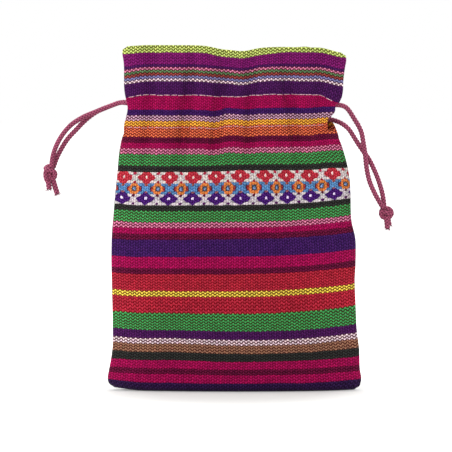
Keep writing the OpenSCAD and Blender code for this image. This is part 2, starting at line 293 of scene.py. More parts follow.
# Stripes from the base up and on over the top edge into the mouth, each with its number of lines.
STRIPES = (
    (3, Yarn.NAVY), (3, Yarn.MAGENTA), (2, Yarn.MAROON), (3, Yarn.MAGENTA), (3, Yarn.BLACK),
    (3, Yarn.BROWN), (2, Yarn.WHITE), (3, Yarn.PURPLE), (6, Yarn.GREEN), (5, Yarn.RED),
    (2, Yarn.YELLOW), (6, Yarn.RED), (2, Yarn.MAROON), (4, Yarn.MAGENTA), (6, Yarn.INDIGO),
    (2, Yarn.MAROON), (2, Yarn.MAGENTA), (2, Yarn.PINK), (4, Yarn.GREEN), (2, Yarn.BLACK),
    (4, Yarn.GROUND), (4, Yarn.BLUE), (4, Yarn.GROUND), (2, Yarn.BLACK), (4, Yarn.GREEN),
    (2, Yarn.PINK), (2, Yarn.MAGENTA), (2, Yarn.MAROON), (4, Yarn.ORANGE), (2, Yarn.GOLD),
    (2, Yarn.LAVENDER), (2, Yarn.INDIGO), (5, Yarn.MAGENTA), (5, Yarn.PURPLE), (1, Yarn.WHITE),
    (1, Yarn.SKY), (1, Yarn.BRICK), (1, Yarn.SAGE), (1, Yarn.PINK), (1, Yarn.PURPLE),
    (4, Yarn.PLUM), (5, Yarn.LIME), (3, Yarn.MAGENTA), (4, Yarn.INDIGO), (2, Yarn.GOLD),
    (5, Yarn.RED), (3, Yarn.GREEN), (14, Yarn.PURPLE),
)

# Height on the pouch against height counted in even lines: the yarn is beaten closer in some stripes.
SPACING = (
    (-13.0, -13.0), (0.0, 0.0), (6.0, 5.7), (12.1, 11.8), (21.0, 21.0), (28.5, 28.7), (38.2, 38.9),
    (46.9, 46.6), (54.6, 54.3), (63.6, 63.0), (69.4, 68.6), (84.5, 83.5), (92.6, 91.6), (101.0, 100.3),
    (110.9, 110.5), (120.0, 119.3), (133.3, 132.6), (143.5, 142.8), (151.5, 151.2), (157.3, 157.2),
    (170.6, 170.4), (178.0, 177.8), (240.0, 239.8),
)

# The flower band, folded at the middle of each flower, with FAR for half its repeat: red and violet flowers
# on white ground, and orange ones between them on blue. A later oval lies over an earlier one.
FAR = 6.2
RED_Y, ORANGE_Y, VIOLET_Y = 109.5, 103.4, 97.8
FLOWERS = (
    *ground(FAR, RED_Y, "#beb6b4", "#c4bab6"),
    *ground(0.0, ORANGE_Y, "#5480ac", "#5278a2"),
    *ground(FAR, VIOLET_Y, "#bab2b6", "#c0b8ba"),
    *flower(RED_Y, -0.4, "#a82e3c", "#dccac4"),
    Motif(FAR, RED_Y + 2.0, 0.9, 0.5, "#a02c44"),
    Motif(FAR, ORANGE_Y, 4.2, 2.1, "#3a2a40"),
    Motif(FAR, ORANGE_Y, 3.8, 1.8, "#8c3030"),
    Motif(FAR, ORANGE_Y, 2.7, 3.3, "#c2743c"),
    Motif(FAR, ORANGE_Y, 1.3, 1.6, "#3e4452"),
    Motif(FAR, ORANGE_Y, 0.65, 0.8, "#7c94bc"),
    Motif(FAR, ORANGE_Y + 3.5, 0.8, 0.5, "#9c2c3c"),
    Motif(FAR, ORANGE_Y - 3.5, 0.8, 0.5, "#501634"),
    *flower(VIOLET_Y + 0.3, 0.3, "#421a66", "#dccfe4"),
    Motif(0.0, ORANGE_Y + 2.2, 0.9, 0.5, "#8c4a40"),
    Motif(0.0, ORANGE_Y - 1.8, 0.9, 0.5, "#8a5250"),
    Motif(FAR, VIOLET_Y - 2.2, 0.85, 0.5, "#4e1854"),
)


@dataclass(frozen=True)
class StripedCotton:
    """Warp-faced hand-woven cotton: lines of dyed yarn that zigzag side by side over a maroon weft.

    The eye sees light zigzag crests over deeper hollows of the same yarn on the pale stripes, where the weft
    shows through, and a soft upright rib on the dark ones. The crests carry a painted highlight on their
    upper side, the hollows are painted shade in a deeper tone of the yarn with the weft's own colour in them,
    the ribs are painted shade where a line dives under, and the staggered dashes are painted light and shade.
    Sizes are in millimetres on the flat cloth. The fibres are about ten times as coarse as real ones, so that
    they show.
    """

    zigzag: float = 2.48
    pitch: float = 1.457
    swing: float = 0.28
    dive: float = 0.24
    drift: float = 0.8
    drift_size: float = 5.0
    fibre: tuple[float, float] = (2.2, 0.22)
    worn_patch: float = 200.0 / 7.0
    repeat: float = 2.0 * FAR
    first_flower: float = 3.6
    flower_shake: tuple[float, float] = (1.4, 0.9)
    shake_size: float = 20.0 / 9.0
    weft: str = "#3c141c"
    shine: float = 1.4
    relief: float = 0.25
    # Shares without a unit: the range of each tone, how strongly the painted shade of the ribs and the
    # painted light and shade of the dashes show by the stripe's hollows, the dye's tint and its least, the
    # part of a line that gets the painted highlight, the gamma of the painted shade in the hollows and how
    # much of the weft they show, where the crest starts to cover them and over how much height, and how
    # freely a flower leaves its lines.
    bend_tone: tuple[float, float] = (0.86, 1.16)
    fibre_tone: tuple[float, float] = (0.86, 1.1)
    wear_tone: tuple[float, float] = (0.94, 1.06)
    rib: tuple[float, float] = (-0.32, -0.04)
    dash: float = 0.18
    tint: tuple[float, float] = (0.1, 0.95)
    lit: tuple[float, float] = (0.4, 0.8)
    deepen: tuple[float, float] = (1.95, 1.5)
    weft_shown: tuple[float, float] = (1.0, 0.12)
    cover: tuple[float, float] = (-0.6, 0.72)
    cover_soft: float = 0.34
    flower_free: float = 0.6

    def build(self) -> Material:
        """Make the material.

        Returns:
            The finished cloth material, which reads the cloth attribute in millimetres.
        """
        material, tree = new_material("hand_woven_cotton")
        node = partial(add, tree)
        cloth = node("Attribute", attribute_name="cloth").outputs["Vector"]
        wander = node("TexNoise", cloth, 1.0 / self.drift_size, 2.0).outputs["Color"]
        sway = node("VectorMath.SCALE", node("VectorMath.SUBTRACT", wander, (0.5, 0.5, 0.5)), self.drift)
        place = node("VectorMath.ADD", cloth, sway)
        x, y, _ = node("SeparateXYZ", place).outputs

        # Lines of yarn: each has a rounded crest and dives under where its zigzag is steep.
        angle = node("Math.MULTIPLY", x, 2.0 * np.pi / self.zigzag)
        level = node("Math.MULTIPLY", y, 1.0 / self.pitch)
        line = node("Math.FLOOR", level)
        count = node("Math.MULTIPLY_ADD", node("Math.SINE", angle), self.swing, level)
        crest = node("Math.FLOOR", count)
        part = node("Math.SUBTRACT", count, crest)
        off = node("Math.MULTIPLY_ADD", part, 2.0, -1.0)
        height = node("Math.SUBTRACT", 1.0, node("Math.MULTIPLY", off, off))
        steep = node("Math.COSINE", node("Math.MULTIPLY", angle, 2.0))
        height = node("Math.MULTIPLY_ADD", steep, -0.5 * self.dive, height)
        yarn, hollow = self.stripes(tree, line)
        row_y = node("Math.MULTIPLY_ADD", line, self.pitch, 0.5 * self.pitch)
        yarn = self.flowers(tree, place, row_y, yarn)

        # Each bend of a line differs a little from the next, fibres run along it, and patches are worn. The
        # tone also carries painted shade where a line dives under at the steep part of its zigzag, lighter at
        # its turns, and painted light and shade in dashes staggered from line to line.
        bend = node("Math.FLOOR", node("Math.MULTIPLY", angle, 1.0 / np.pi))
        chance, dye = node("TexWhiteNoise", node("CombineXYZ", bend, crest), noise_dimensions="2D").outputs
        fibres = node("TexNoise", node("VectorMath.DIVIDE", place, (*self.fibre, 1.0)), 1.0, 2.0)
        worn = node("TexNoise", cloth, 1.0 / self.worn_patch, 3.0)
        tone = node("MapRange", chance, 0.0, 1.0, *self.bend_tone)
        rib = node("Math.MULTIPLY_ADD", steep, node("Math.MULTIPLY_ADD", hollow, *self.rib), 1.0)
        stagger = node("Math.COSINE", node("Math.MULTIPLY_ADD", crest, np.pi, angle))
        dash = node("Math.MULTIPLY_ADD", stagger, node("Math.MULTIPLY", hollow, self.dash), 1.0)
        grain = node("MapRange", fibres, 0.3, 0.7, *self.fibre_tone)
        wear = node("MapRange", worn, 0.3, 0.7, *self.wear_tone)
        for share in (rib, dash, grain, wear):
            tone = node("Math.MULTIPLY", tone, share)

        # Crests, lighter on their upper side: a painted highlight, made from a paler copy of the yarn.
        tint = node("VectorMath.MULTIPLY_ADD", dye, *((share,) * 3 for share in self.tint))
        lit = node("MapRange", part, *self.lit, interpolation_type="SMOOTHSTEP")
        # The paler copy of the yarn is the painted highlight colour.
        pale = node("VectorMath.MULTIPLY_ADD", yarn, (self.shine,) * 3, (0.004,) * 3)
        face = node("VectorMath.MULTIPLY", node("Mix", lit, yarn, pale, data_type="RGBA"), tint)
        face = node("VectorMath.SCALE", face, tone)

        # Hollows, in painted shade: a deeper shade of the yarn stands in for the shade between the lines,
        # with the weft's own colour where the yarn covers it least.
        shade = node("Gamma", yarn, node("MapRange", hollow, 0.0, 0.5, *self.deepen))
        depth = node("Math.MULTIPLY", node("Math.MULTIPLY", hollow, 2.0), tone)
        bare = node("MapRange", hollow, 0.0, 0.4, *self.weft_shown)
        weft = node("VectorMath.SCALE", linear(self.weft)[:3], bare)
        deep = node("VectorMath.ADD", node("VectorMath.SCALE", shade, depth), weft)
        low = node("Math.MULTIPLY_ADD", hollow, *self.cover)
        high = node("Math.ADD", low, self.cover_soft)
        cover = node("MapRange", height, low, high, interpolation_type="SMOOTHSTEP")
        # Low on each line the colour goes over to the painted shade of the hollow.
        colour = node("Mix", cover, deep, face, data_type="RGBA")
        rough = node("Math.MULTIPLY_ADD", fibres, 0.3, height)
        raised = node("Bump", named={"Strength": 0.5, "Distance": self.relief * MM, "Height": rough})
        finish = {"Base Color": colour, "Roughness": 0.9, "Specular IOR Level": 0.04, "Normal": raised}
        shader = node("BsdfPrincipled", named={**finish, "Sheen Weight": 0.15, "Sheen Roughness": 0.35})
        node("OutputMaterial", shader)
        return material

    def stripes(self, tree: Tree, line: Node) -> tuple[Node, Node]:
        """Look up the stripe that each line of yarn belongs to, in two ramps, since one can't hold them all.

        Args:
            tree: Node tree of the material.
            line: Number of the line, counted from the base.

        Returns:
            The yarn's colour and how light the painted shade in its hollows stays.
        """
        starts = np.concatenate(([0.0], np.cumsum([lines for lines, _ in STRIPES]))).tolist()
        line = add(tree, "Math.ADD", line, 0.5)
        half = len(STRIPES) // 2
        looks = []
        for first, last in ((0, half), (half, len(STRIPES))):
            low, high = starts[first], starts[last]
            ramp = add(tree, "ValToRGB", add(tree, "MapRange", line, low, high))
            ramp.color_ramp.interpolation = "CONSTANT"
            spots = ramp.color_ramp.elements
            for i in range(first, last):
                at = (starts[i] - low) / (high - low)
                spot = spots[i - first] if i - first < 2 else spots.new(at)
                spot.position = at
                spot.color = STRIPES[i][1].look
            looks.append(ramp.outputs)
        upper = add(tree, "Math.GREATER_THAN", line, starts[half])
        lower_look, upper_look = looks
        yarn = add(tree, "Mix", upper, lower_look["Color"], upper_look["Color"], data_type="RGBA")
        hollow = add(tree, "Mix", upper, lower_look["Alpha"], upper_look["Alpha"], data_type="FLOAT")
        return yarn, hollow

    def flowers(self, tree: Tree, place: Node, row_y: Node, yarn: Node) -> Node:
        """Paint the flower band over the stripes.

        Args:
            tree: Node tree of the material.
            place: Place on the cloth in millimetres.
            row_y: Height of the middle of the line of yarn.
            yarn: Colour of the stripes.

        Returns:
            The yarn colour with the flowers on it.
        """
        node = partial(add, tree)
        wide, tall = self.flower_shake
        shake = node("TexNoise", place, 1.0 / self.shake_size, 1.0).outputs["Color"]
        shake = node("VectorMath.MULTIPLY_ADD", shake, (wide, tall, 0.0), (-0.5 * wide, -0.5 * tall, 0.0))
        x, y, _ = node("SeparateXYZ", node("VectorMath.ADD", place, shake)).outputs
        y = node("Mix", self.flower_free, row_y, y, data_type="FLOAT")
        x = node("Math.PINGPONG", node("Math.SUBTRACT", x, self.first_flower), 0.5 * self.repeat)
        spot = node("CombineXYZ", x, y)
        for motif in FLOWERS:
            off = node("VectorMath.SUBTRACT", spot, (motif.x, motif.y, 0.0))
            off = node("VectorMath.DIVIDE", off, (motif.half_w, motif.half_h, 1.0))
            inside = node("Math.LESS_THAN", node("VectorMath.LENGTH", off), 1.0)
            yarn = node("Mix", inside, yarn, linear(motif.yarn), data_type="RGBA")
        return yarn


@dataclass(frozen=True)
class BraidedCord:
    """Round braided synthetic cord: small staggered lumps, pale on top, with painted shade where they dive
    under.

    The eye sees a beaded line, a little shinier than the cloth. Sizes are in millimetres. The lint is coarser
    than the real filaments, so that it shows.
    """

    crown: str = "#b05272"
    valley: str = "#340a1c"
    lint: float = 1.0 / 2.2
    faded_patch: float = 1.0 / 0.12
    faded_tone: tuple[float, float] = (0.88, 1.08)
    relief: float = 0.08

    def build(self) -> Material:
        """Make the material.

        Returns:
            The finished cord material, which reads the relief attribute of the braid for its painted shade.
        """
        material, tree = new_material("braided_synthetic_cord")
        node = partial(add, tree)
        relief = node("Attribute", attribute_name="relief").outputs["Fac"]
        where = node("TexCoord").outputs["Object"]
        lint = node("TexNoise", where, 1.0 / (self.lint * MM), 2.0)
        fade = node("TexNoise", where, 1.0 / (self.faded_patch * MM), 2.0)
        # The braid's relief sets painted shade: darker where the lumps dive under.
        share = node("MapRange", node("Math.MULTIPLY_ADD", lint, 0.5, relief), 0.37, 1.0)
        colour = node("Mix", share, linear(self.valley), linear(self.crown), data_type="RGBA")
        colour = node("VectorMath.SCALE", colour, node("MapRange", fade, 0.3, 0.7, *self.faded_tone))
        raised = node("Bump", named={"Strength": 0.4, "Distance": self.relief * MM, "Height": lint})
        finish = {"Base Color": colour, "Roughness": 0.75, "Specular IOR Level": 0.2, "Normal": raised}
        shader = node("BsdfPrincipled", named={**finish, "Sheen Weight": 0.08, "Sheen Roughness": 0.4})
        node("OutputMaterial", shader)
        return material


@dataclass(frozen=True)
class SewingThread:
    """Twisted cotton sewing thread: a soft line with a slanting twist, drawn coarser so that it shows."""

    name: str
    light: str
    dark: str
    twists_per_m: float = 420.0
    relief: float = 0.05

    def build(self) -> Material:
        """Make the material.

        Returns:
            The finished thread material.
        """
        material, tree = new_material(self.name)
        node = partial(add, tree)
        where = node("TexCoord").outputs["Object"]
        twist = node("TexWave", where, self.twists_per_m, 1.5, bands_direction="DIAGONAL").outputs["Fac"]
        colour = node("Mix", twist, linear(self.dark), linear(self.light), data_type="RGBA")
        raised = node("Bump", named={"Strength": 0.4, "Distance": self.relief * MM, "Height": twist})
        finish = {"Base Color": colour, "Roughness": 0.7, "Specular IOR Level": 0.3, "Normal": raised}
        node("OutputMaterial", node("BsdfPrincipled", named=finish))
        return material


@dataclass(frozen=True)
class WhiteTable:
    """Matt white laminate table top, which runs out to a white background and keeps the pouch's shadow.

    Its glow, seen only by the camera and in reflections, grows from near the pouch outwards. Sizes are in
    metres.
    """

    paint: str = "#d4d4d2"
    white: str = "#ffffff"
    glow: float = 0.15
    near: float = 0.04
    far: float = 0.16

    def build(self) -> Material:
        """Make the material.

        Returns:
            The finished table material.
        """
        material, tree = new_material("matt_white_laminate")
        node = partial(add, tree)
        away = node("VectorMath.LENGTH", node("NewGeometry").outputs["Position"])
        glow = node("MapRange", away, self.near, self.far, self.glow, 1.0, interpolation_type="SMOOTHSTEP")
        seen = node("Emission", linear(self.white), node("Math.MULTIPLY", in_view(tree), glow))
        matt = node("BsdfDiffuse", linear(self.paint))
        node("OutputMaterial", node("AddShader", matt, seen))
        return material


def make_object(name: str, points: Array, faces: list, material: Material, **values: Array) -> Piece:
    """Smooth mesh object in the row frame.

    Args:
        name: Name of the object and its mesh.
        points: Vertices in millimetres.
        faces: Vertex numbers of each face.
        material: Finish of the piece.
        values: Attributes of the vertices, one number or one vector each.

    Returns:
        The new object.
    """
    mesh = bpy.data.meshes.new(name)
    mesh.from_pydata((np.asarray(points, float) * MM).tolist(), [], [list(map(int, f)) for f in faces])
    mesh.update()
    mesh.shade_smooth()
    for key, value in values.items():
        vector = np.ndim(value) == 2
        layer = mesh.attributes.new(key, "FLOAT_VECTOR" if vector else "FLOAT", "POINT")
        layer.data.foreach_set("vector" if vector else "value", np.asarray(value, np.float32).ravel())
    mesh.materials.append(material)
    piece = bpy.data.objects.new(name, mesh)
    bpy.context.scene.collection.objects.link(piece)
    return piece


def grid_faces(rows: int, columns: int, wrap: bool = False) -> list[tuple[int, ...]]:
    """Quads of a grid of vertices numbered row by row.

    Args:
        rows: Number of rows.
        columns: Number of vertices in a row.
        wrap: Whether each row is a closed ring.

    Returns:
        The faces.
    """
    steps = [(j, (j + 1) % columns) for j in range(columns if wrap else columns - 1)]
    starts = [(i * columns, (i + 1) * columns) for i in range(rows - 1)]
    return [(low + a, low + b, high + b, high + a) for low, high in starts for a, b in steps]


def tube_faces(rows: int, ring: int) -> list[tuple[int, ...]]:
    """Faces of a closed tube of rings of vertices, with a cap at each end."""
    count = rows * ring
    return [*grid_faces(rows, ring, wrap=True), tuple(range(ring))[::-1], tuple(range(count - ring, count))]


def spline(points: Array, step: float) -> Array:
    """Even points on a smooth curve.

    Args:
        points: Points that the curve goes through.
        step: Distance between the points that come back.

    Returns:
        The points along the curve.
    """
    points = np.asarray(points, float)
    along = travelled(points)
    at = np.linspace(0.0, along[-1], max(8, int(along[-1] / step) * 4))
    fine = np.stack([through(tuple(zip(along, axis)), at) for axis in points.T], axis=1)
    run = travelled(fine)
    even = np.linspace(0.0, run[-1], max(4, int(round(run[-1] / step)) + 1))
    return np.stack([np.interp(even, run, axis) for axis in fine.T], axis=1)


@dataclass
class Rope:
    """A cord along a line, with frames that don't twist and a braid that runs on from piece to piece."""

    line: Array
    radius: float = 1.25
    sides: int = 16
    lump: float = 0.12
    braid: float = 1.6
    carriers: int = 4

    def __post_init__(self) -> None:
        """Work out the distance along the line and the frame at each of its points."""
        self.run = travelled(self.line)
        tangent = np.gradient(self.line, axis=0)
        tangent /= np.linalg.norm(tangent, axis=1)[:, None]
        side = np.cross(tangent[0], (0.31, 0.42, 0.85))
        frames = []
        for t in tangent:
            side = side - t * side.dot(t)
            side /= np.linalg.norm(side)
            frames.append((side.copy(), np.cross(t, side)))
        self.frames = np.array(frames)

    def nearest(self, place: Array) -> float:
        """Distance along the line at its point nearest to a place."""
        return float(self.run[np.argmin(np.linalg.norm(self.line - place, axis=1))])

    def span(self, start: float, end: float) -> Array:
        """Numbers of the points between two distances along the line."""
        return np.flatnonzero((self.run >= start - 1e-6) & (self.run <= end + 1e-6))

    def tube(self, start: float = 0.0, end: float = np.inf, scale: float = 1.0) -> Mesh:
        """Closed tube over part of the line.

        Args:
            start: Distance along the line at which it starts.
            end: Distance along the line at which it ends.
            scale: Factor on the radius.

        Returns:
            Its vertices, its faces and the braid's relief at each vertex.
        """
        keep = self.span(start, end)
        turn = np.arange(self.sides) * 2.0 * np.pi / self.sides
        lump = np.outer(np.cos(2.0 * np.pi * self.run[keep] / self.braid), np.cos(self.carriers * turn))
        radius = scale * (self.radius + self.lump * lump)
        side, up = (self.frames[keep, k][:, None, :] for k in (0, 1))
        ring = np.cos(turn)[:, None] * side + np.sin(turn)[:, None] * up
        points = self.line[keep][:, None, :] + radius[:, :, None] * ring
        return points.reshape(-1, 3), tube_faces(len(keep), self.sides), (0.5 + 0.5 * lump).ravel()


def join(parts: list[Mesh]) -> Mesh:
    """Several meshes as one.

    Args:
        parts: Vertices, faces and one value for each vertex of each mesh.

    Returns:
        The vertices, faces and values of all.
    """
    count, faces = 0, []
    for points, own, _ in parts:
        faces += [tuple(v + count for v in f) for f in own]
        count += len(points)
    return np.concatenate([p[0] for p in parts]), faces, np.concatenate([p[2] for p in parts])


@dataclass(frozen=True)
class Pull:
    """One pull on the cloth: how far it shifts a place in millimetres, and its share across and up."""

    shift: float
    across: Shape
    up: Shape

    def at(self, x: Array, z: Array) -> Array:
        """How far the pull shifts the cloth at a place."""
        return self.shift * self.across(x) * self.up(z)


# Where up the sheet the pulls act: the heading, its edge, the neck, the casing and what lies under it, the
# body, its middle, the base, and the part of the mouth that sinks at the back.
HEADING = rise(145.0, 8.0)
CROWN = rise(165.0, 10.0)
NECK = both(rise(97.0, 11.0), fall(153.0, 8.0))
CASING = both(NECK, rise(112.0, 14.0))
SHOULDER = both(NECK, fall(126.0, 14.0))
BODY = both(fall(108.0, 11.0), rise(0.0, 5.0), lambda z: mix(0.4, 1.0, ease((z - 5.0) / 42.0)))
BELT = bump(49.0, 14.0)
FOOT = fall(12.0, 12.0)
SUNK = rise(UPPER_ROW, 12.0)
WHOLE_WIDTH = bump(0.0, np.inf)

# Pulls upward that bend the stripes on both sheets.
PULLS = (
    Pull(-0.9, bump(-5.0, 9.0), HEADING),
    Pull(-1.5, fall(-45.0, 11.0), HEADING),
    Pull(-2.5, rise(42.0, 15.0), HEADING),
    Pull(0.3, bump(24.0, 9.0), HEADING),
    Pull(-1.5, bump(5.0, 6.5), rise(149.0, 9.0)),
    Pull(-1.2, rise(-16.0, 12.0), CROWN),
    Pull(0.75, fall(-46.0, 8.0), CROWN),
    Pull(-0.3, rise(45.0, 10.0), CROWN),
    Pull(0.92, rise(-26.0, 40.0), SHOULDER),
    Pull(0.92, rise(-9.0, 6.0), CASING),
    Pull(-0.6, bump(-10.5, 4.0), CASING),
    Pull(-0.75, bump(7.0, 4.0), CASING),
    Pull(0.9, rise(36.0, 15.0), NECK),
    Pull(-0.5, WHOLE_WIDTH, bump(142.0, 7.0)),
    Pull(-2.0, rise(42.0, 11.0), bump(151.5, 4.5)),
    Pull(0.51, lambda x: np.square(np.clip(x, 0.0, None) / 23.8), BODY),
    Pull(0.5, fall(-48.0, 12.0), BODY),
    Pull(0.65, WHOLE_WIDTH, BELT),
    Pull(-0.325, fall(-40.0, 20.0), BELT),
    Pull(-0.325, rise(40.0, 20.0), BELT),
    Pull(0.5, bump(8.0, 30.0), bump(78.0, 24.0)),
    Pull(-0.7, fall(-42.0, 14.0), bump(76.0, 12.0)),
    Pull(-0.4, bump(26.0, 16.0), bump(26.0, 12.0)),
    Pull(-0.6, bump(5.0, 26.0), bump(22.0, 16.0)),
    Pull(0.45, bump(-29.0, 13.0), bump(20.0, 14.0)),
    Pull(-0.5, rise(18.0, 25.0), both(rise(0.0, 6.0), fall(44.0, 14.0))),
)

# Pulls that each sheet has by its own amount: up at the left and right base corners, down in a mouth that
# sags, and outward where the lip rolls at the right slit.
CORNERS = (Pull(1.0, fall(-46.0, 18.0), FOOT), Pull(1.0, rise(46.0, 18.0), FOOT))
SAGS = (Pull(1.0, bump(0.0, 34.0), SUNK), Pull(1.3, fall(-36.0, 14.0), SUNK))
ROLLED_LIP = Pull(1.0, bump(49.5, 3.2), bump(142.5, 3.2))
# Unevenness of the weave: flowers that stand closer right of the middle, and stripes that slip at the top.
CLOSER = Pull(1.6, bump(14.0, 9.0), bump(103.0, 14.0))
SLIP = Pull(1.3, rise(12.0, 18.0), rise(166.0, 8.0))

# Where up the sheet the gathers act: drawn in from the shoulder, looser in the mouth, puckered along the
# casing, ruffled to the top and slack from the base. The weave is counted over a longer stretch where the
# slits start.
GATHERED = rise(0.0, 12.0)
DRAWN = rise(104.0, 26.0)
LOOSER = rise(UPPER_ROW, 22.0)
PUCKERED = bump(144.0, 13.0)
RUFFLED = rise(UPPER_ROW, TOP - UPPER_ROW)
SLACK = rise(0.0, 20.0)
SLITTED = rise(106.0, 14.0)

# Where up the sheet its section changes: the side edges part over the base, the depth is fuller toward the
# neck, the slits open, the edge's roll grows from the base and its hem comes loose at the slits.
PARTED = rise(0.0, 7.0)
FULLER = rise(75.0, SLIT - 75.0)
OPENED = rise(SLIT, 8.0)
ROLLED_UP = rise(0.0, 6.0)
LOOSE_HEM = rise(SLIT - 1.0, 5.0)
# Where down the inside the cloth stands off from the wall, and where it narrows to the casing's inner layer.
STOOD_OFF = fall(TOP, 9.0)
NARROWED = fall(158.0, 6.0)

# The turned side edge in section, in millimetres: steps past the edge and inward round its roll, then back
# and inward along the hem, and how far each step goes along the weave.
ROLL = ((0.3, 0.22), (0.45, 0.75), (0.28, 1.25))
HEM = ((1.2, 1.5), (4.2, 1.55))
EDGE_WEAVE = (0.4, 0.9, 1.4, 2.9, 5.9)
# The top fold in section: height over the top line, inset and length along the cloth.
TOP_FOLD = ((0.25, 0.25, 0.0), (0.4, 0.8, 0.6), (0.25, 1.35, 1.2))
# Where the casing's inner layer stands off to make room for the cords, by height.
CORD_ROOM = ((134.0, 0.0), (136.2, 0.0), (138.2, 1.0), (149.8, 1.0), (151.6, 0.0), (153.0, 0.0))


@dataclass(frozen=True)
class Crease:
    """One upright crease of the gathers, in millimetres: place, depth and lean for each mm up."""

    x: float
    depth: float
    lean: float


@dataclass
class ClothSheet:
    """One side of the pouch: a single cloth from the bottom seam up the wall, over the top and down inside.

    Sizes are in millimetres. The corners, the sag and the puff say how far the left and right base corners
    stand up, the mouth sinks and the lip rolls out. The depths called half are from the middle plane, and the
    powers shape how the depth falls off to the side edges, in the body and in the neck. The gaps and steps
    space the rows, and the crowd draws the columns closer at the edges. A wave has lengths for one radian and
    shifts, but the pucker's has radians for each millimetre.
    """

    side: Side
    left: Keys
    right: Keys
    creases: tuple[Crease, ...]
    corners: tuple[float, float]
    sag: float
    puff: float
    thickness: float = 0.75
    columns: int = 101
    crowd: float = 0.3
    row_step: float = 1.15
    wall_gaps: tuple[float, float] = (1.0, 0.3)
    inner_gaps: tuple[float, float, float] = (0.6, 0.4, 0.2)
    inner_steps: tuple[float, float] = (1.6, 0.8)
    base_gap: float = 0.02
    top_turn: float = 1.0
    fold: float = 5.0
    base_half: float = 13.0
    belly_half: float = 16.5
    belly_z: float = 46.0
    neck_half: float = 11.0
    slit_edge: float = 7.2
    inner_half: float = 41.0
    inner_margin: float = 1.4
    inner_inset: tuple[float, float] = (1.55, 2.3)
    cord_inset: float = 5.2
    hem_end: float = 134.0
    clear: float = 0.02
    flare: float = 2.0
    seam_depth: tuple[float, float] = (0.2, 1.7)
    base_edge: float = 0.3
    round_power: tuple[float, float] = (2.4, 5.0)
    outer_power: tuple[float, float] = (0.7, 0.95)
    fade_power: int = 6
    roll_least: float = 0.35
    roll_from: float = 0.8
    crease_half: float = 2.9
    crease_z: float = 140.0
    crease_mean: float = 0.45
    mouth_share: float = 0.45
    pucker: float = 0.16
    pucker_wave: tuple[float, float, float] = (1.75, 0.6, 0.31)
    ruffle: float = 1.3
    ruffle_wave: tuple[float, float] = (6.0, 6.3)
    upper_pinch: float = 0.45
    lower_pinch: float = 0.3
    pinch_half: float = 1.6
    slack: float = 0.5
    slack_wave: tuple[float, float, float, float] = (17.0, 31.0, 23.0, 0.7)
    weave_reach: tuple[float, float] = (3.0, 16.0)

    def edges(self, z: Array) -> tuple[Array, Array]:
        """Middle and half width of the sheet at height z."""
        low, high = through(self.left, z), through(self.right, z)
        return (low + high) / 2.0, (high - low) / 2.0

    def across(self, x: Array, z: Array) -> Array:
        """Place across the flat cloth, which keeps the weave upright where the edge turns in at the slit.

        Args:
            x: Place across in millimetres, seen from this sheet's own side.
            z: Height on the cloth.

        Returns:
            Distance from the middle of the flat cut.
        """
        reach = mix(*self.weave_reach, SLITTED(z))
        middle, half = np.mean([self.edges(z + k * reach) for k in np.linspace(-1.0, 1.0, 9)], axis=0)
        return CUT_HALF * (x - middle) / half - CLOSER.at(x, z)

    def half_depth(self, z: Array) -> Array:
        """Depth of the sheet from the middle plane, at the middle of its width.

        Args:
            z: Height on the cloth in millimetres.

        Returns:
            The depth at that height.
        """
        lower = mix(self.base_half, self.belly_half, ease(z / self.belly_z))
        upper = mix(self.belly_half, self.neck_half, ease((z - self.belly_z) / (SLIT - self.belly_z)))
        flare = self.flare * np.clip((z - UPPER_ROW) / (TOP - UPPER_ROW), 0.0, 1.0) ** 2
        return np.where(z < self.belly_z, lower, upper) + flare

    def edge_depth(self, z: Array) -> Array:
        """Depth of the sheet's side edges: shut at the side seam, open above the foot of the slit."""
        return mix(mix(*self.seam_depth, PARTED(z)), self.slit_edge, OPENED(z))

    def fullness(self, u: Array, z: Array) -> Array:
        """Share of the depth left at the place u across the width."""
        inner, outer = mix(*self.round_power, FULLER(z)), mix(*self.outer_power, FULLER(z))
        return np.clip(1.0 - np.abs(u) ** inner, 0.0, 1.0) ** outer

    def gather(self, x: Array, z: Array) -> Array:
        """How far the drawn-in cloth goes inward at a place, in the neck and the mouth.

        Args:
            x: Place across in millimetres, seen from this sheet's own side.
            z: Height on the cloth.

        Returns:
            Distance inward from the full depth.
        """
        drawn = DRAWN(z) * mix(1.0, self.mouth_share, LOOSER(z))
        up = z - self.crease_z
        deep = sum(c.depth * bell((x - c.x - c.lean * up) / self.crease_half) for c in self.creases)
        turns, shake, drift = self.pucker_wave
        pucker = self.pucker * np.sin(x * turns + shake * np.sin(x * drift)) * PUCKERED(z)
        shift, wave = self.ruffle_wave
        ruffle = self.ruffle * np.sin((x + shift) / wave) * RUFFLED(z)
        pinch = self.upper_pinch * bell((z - UPPER_ROW) / self.pinch_half)
        pinch = pinch + self.lower_pinch * bell((z - LOWER_ROW) / self.pinch_half)
        wide, slant, tall, start = self.slack_wave
        slack = self.slack * np.sin(x / wide + z / slant) * np.sin(z / tall + start) * SLACK(z)
        return drawn * (deep - self.crease_mean) + pucker + ruffle + pinch + slack

    def lift(self, x: Array, z: Array) -> Array:
        """How far the pulls, the base corners and the sag shift the cloth up, which bends its stripes.

        Args:
            x: Place across in millimetres, seen from this sheet's own side.
            z: Height on the cloth.

        Returns:
            Distance upward.
        """
        base = sum(up * corner.at(x, z) for up, corner in zip(self.corners, CORNERS))
        sunk = self.sag * sum(sag.at(x, z) for sag in SAGS)
        return sum(pull.at(x, z) for pull in PULLS) + base - sunk

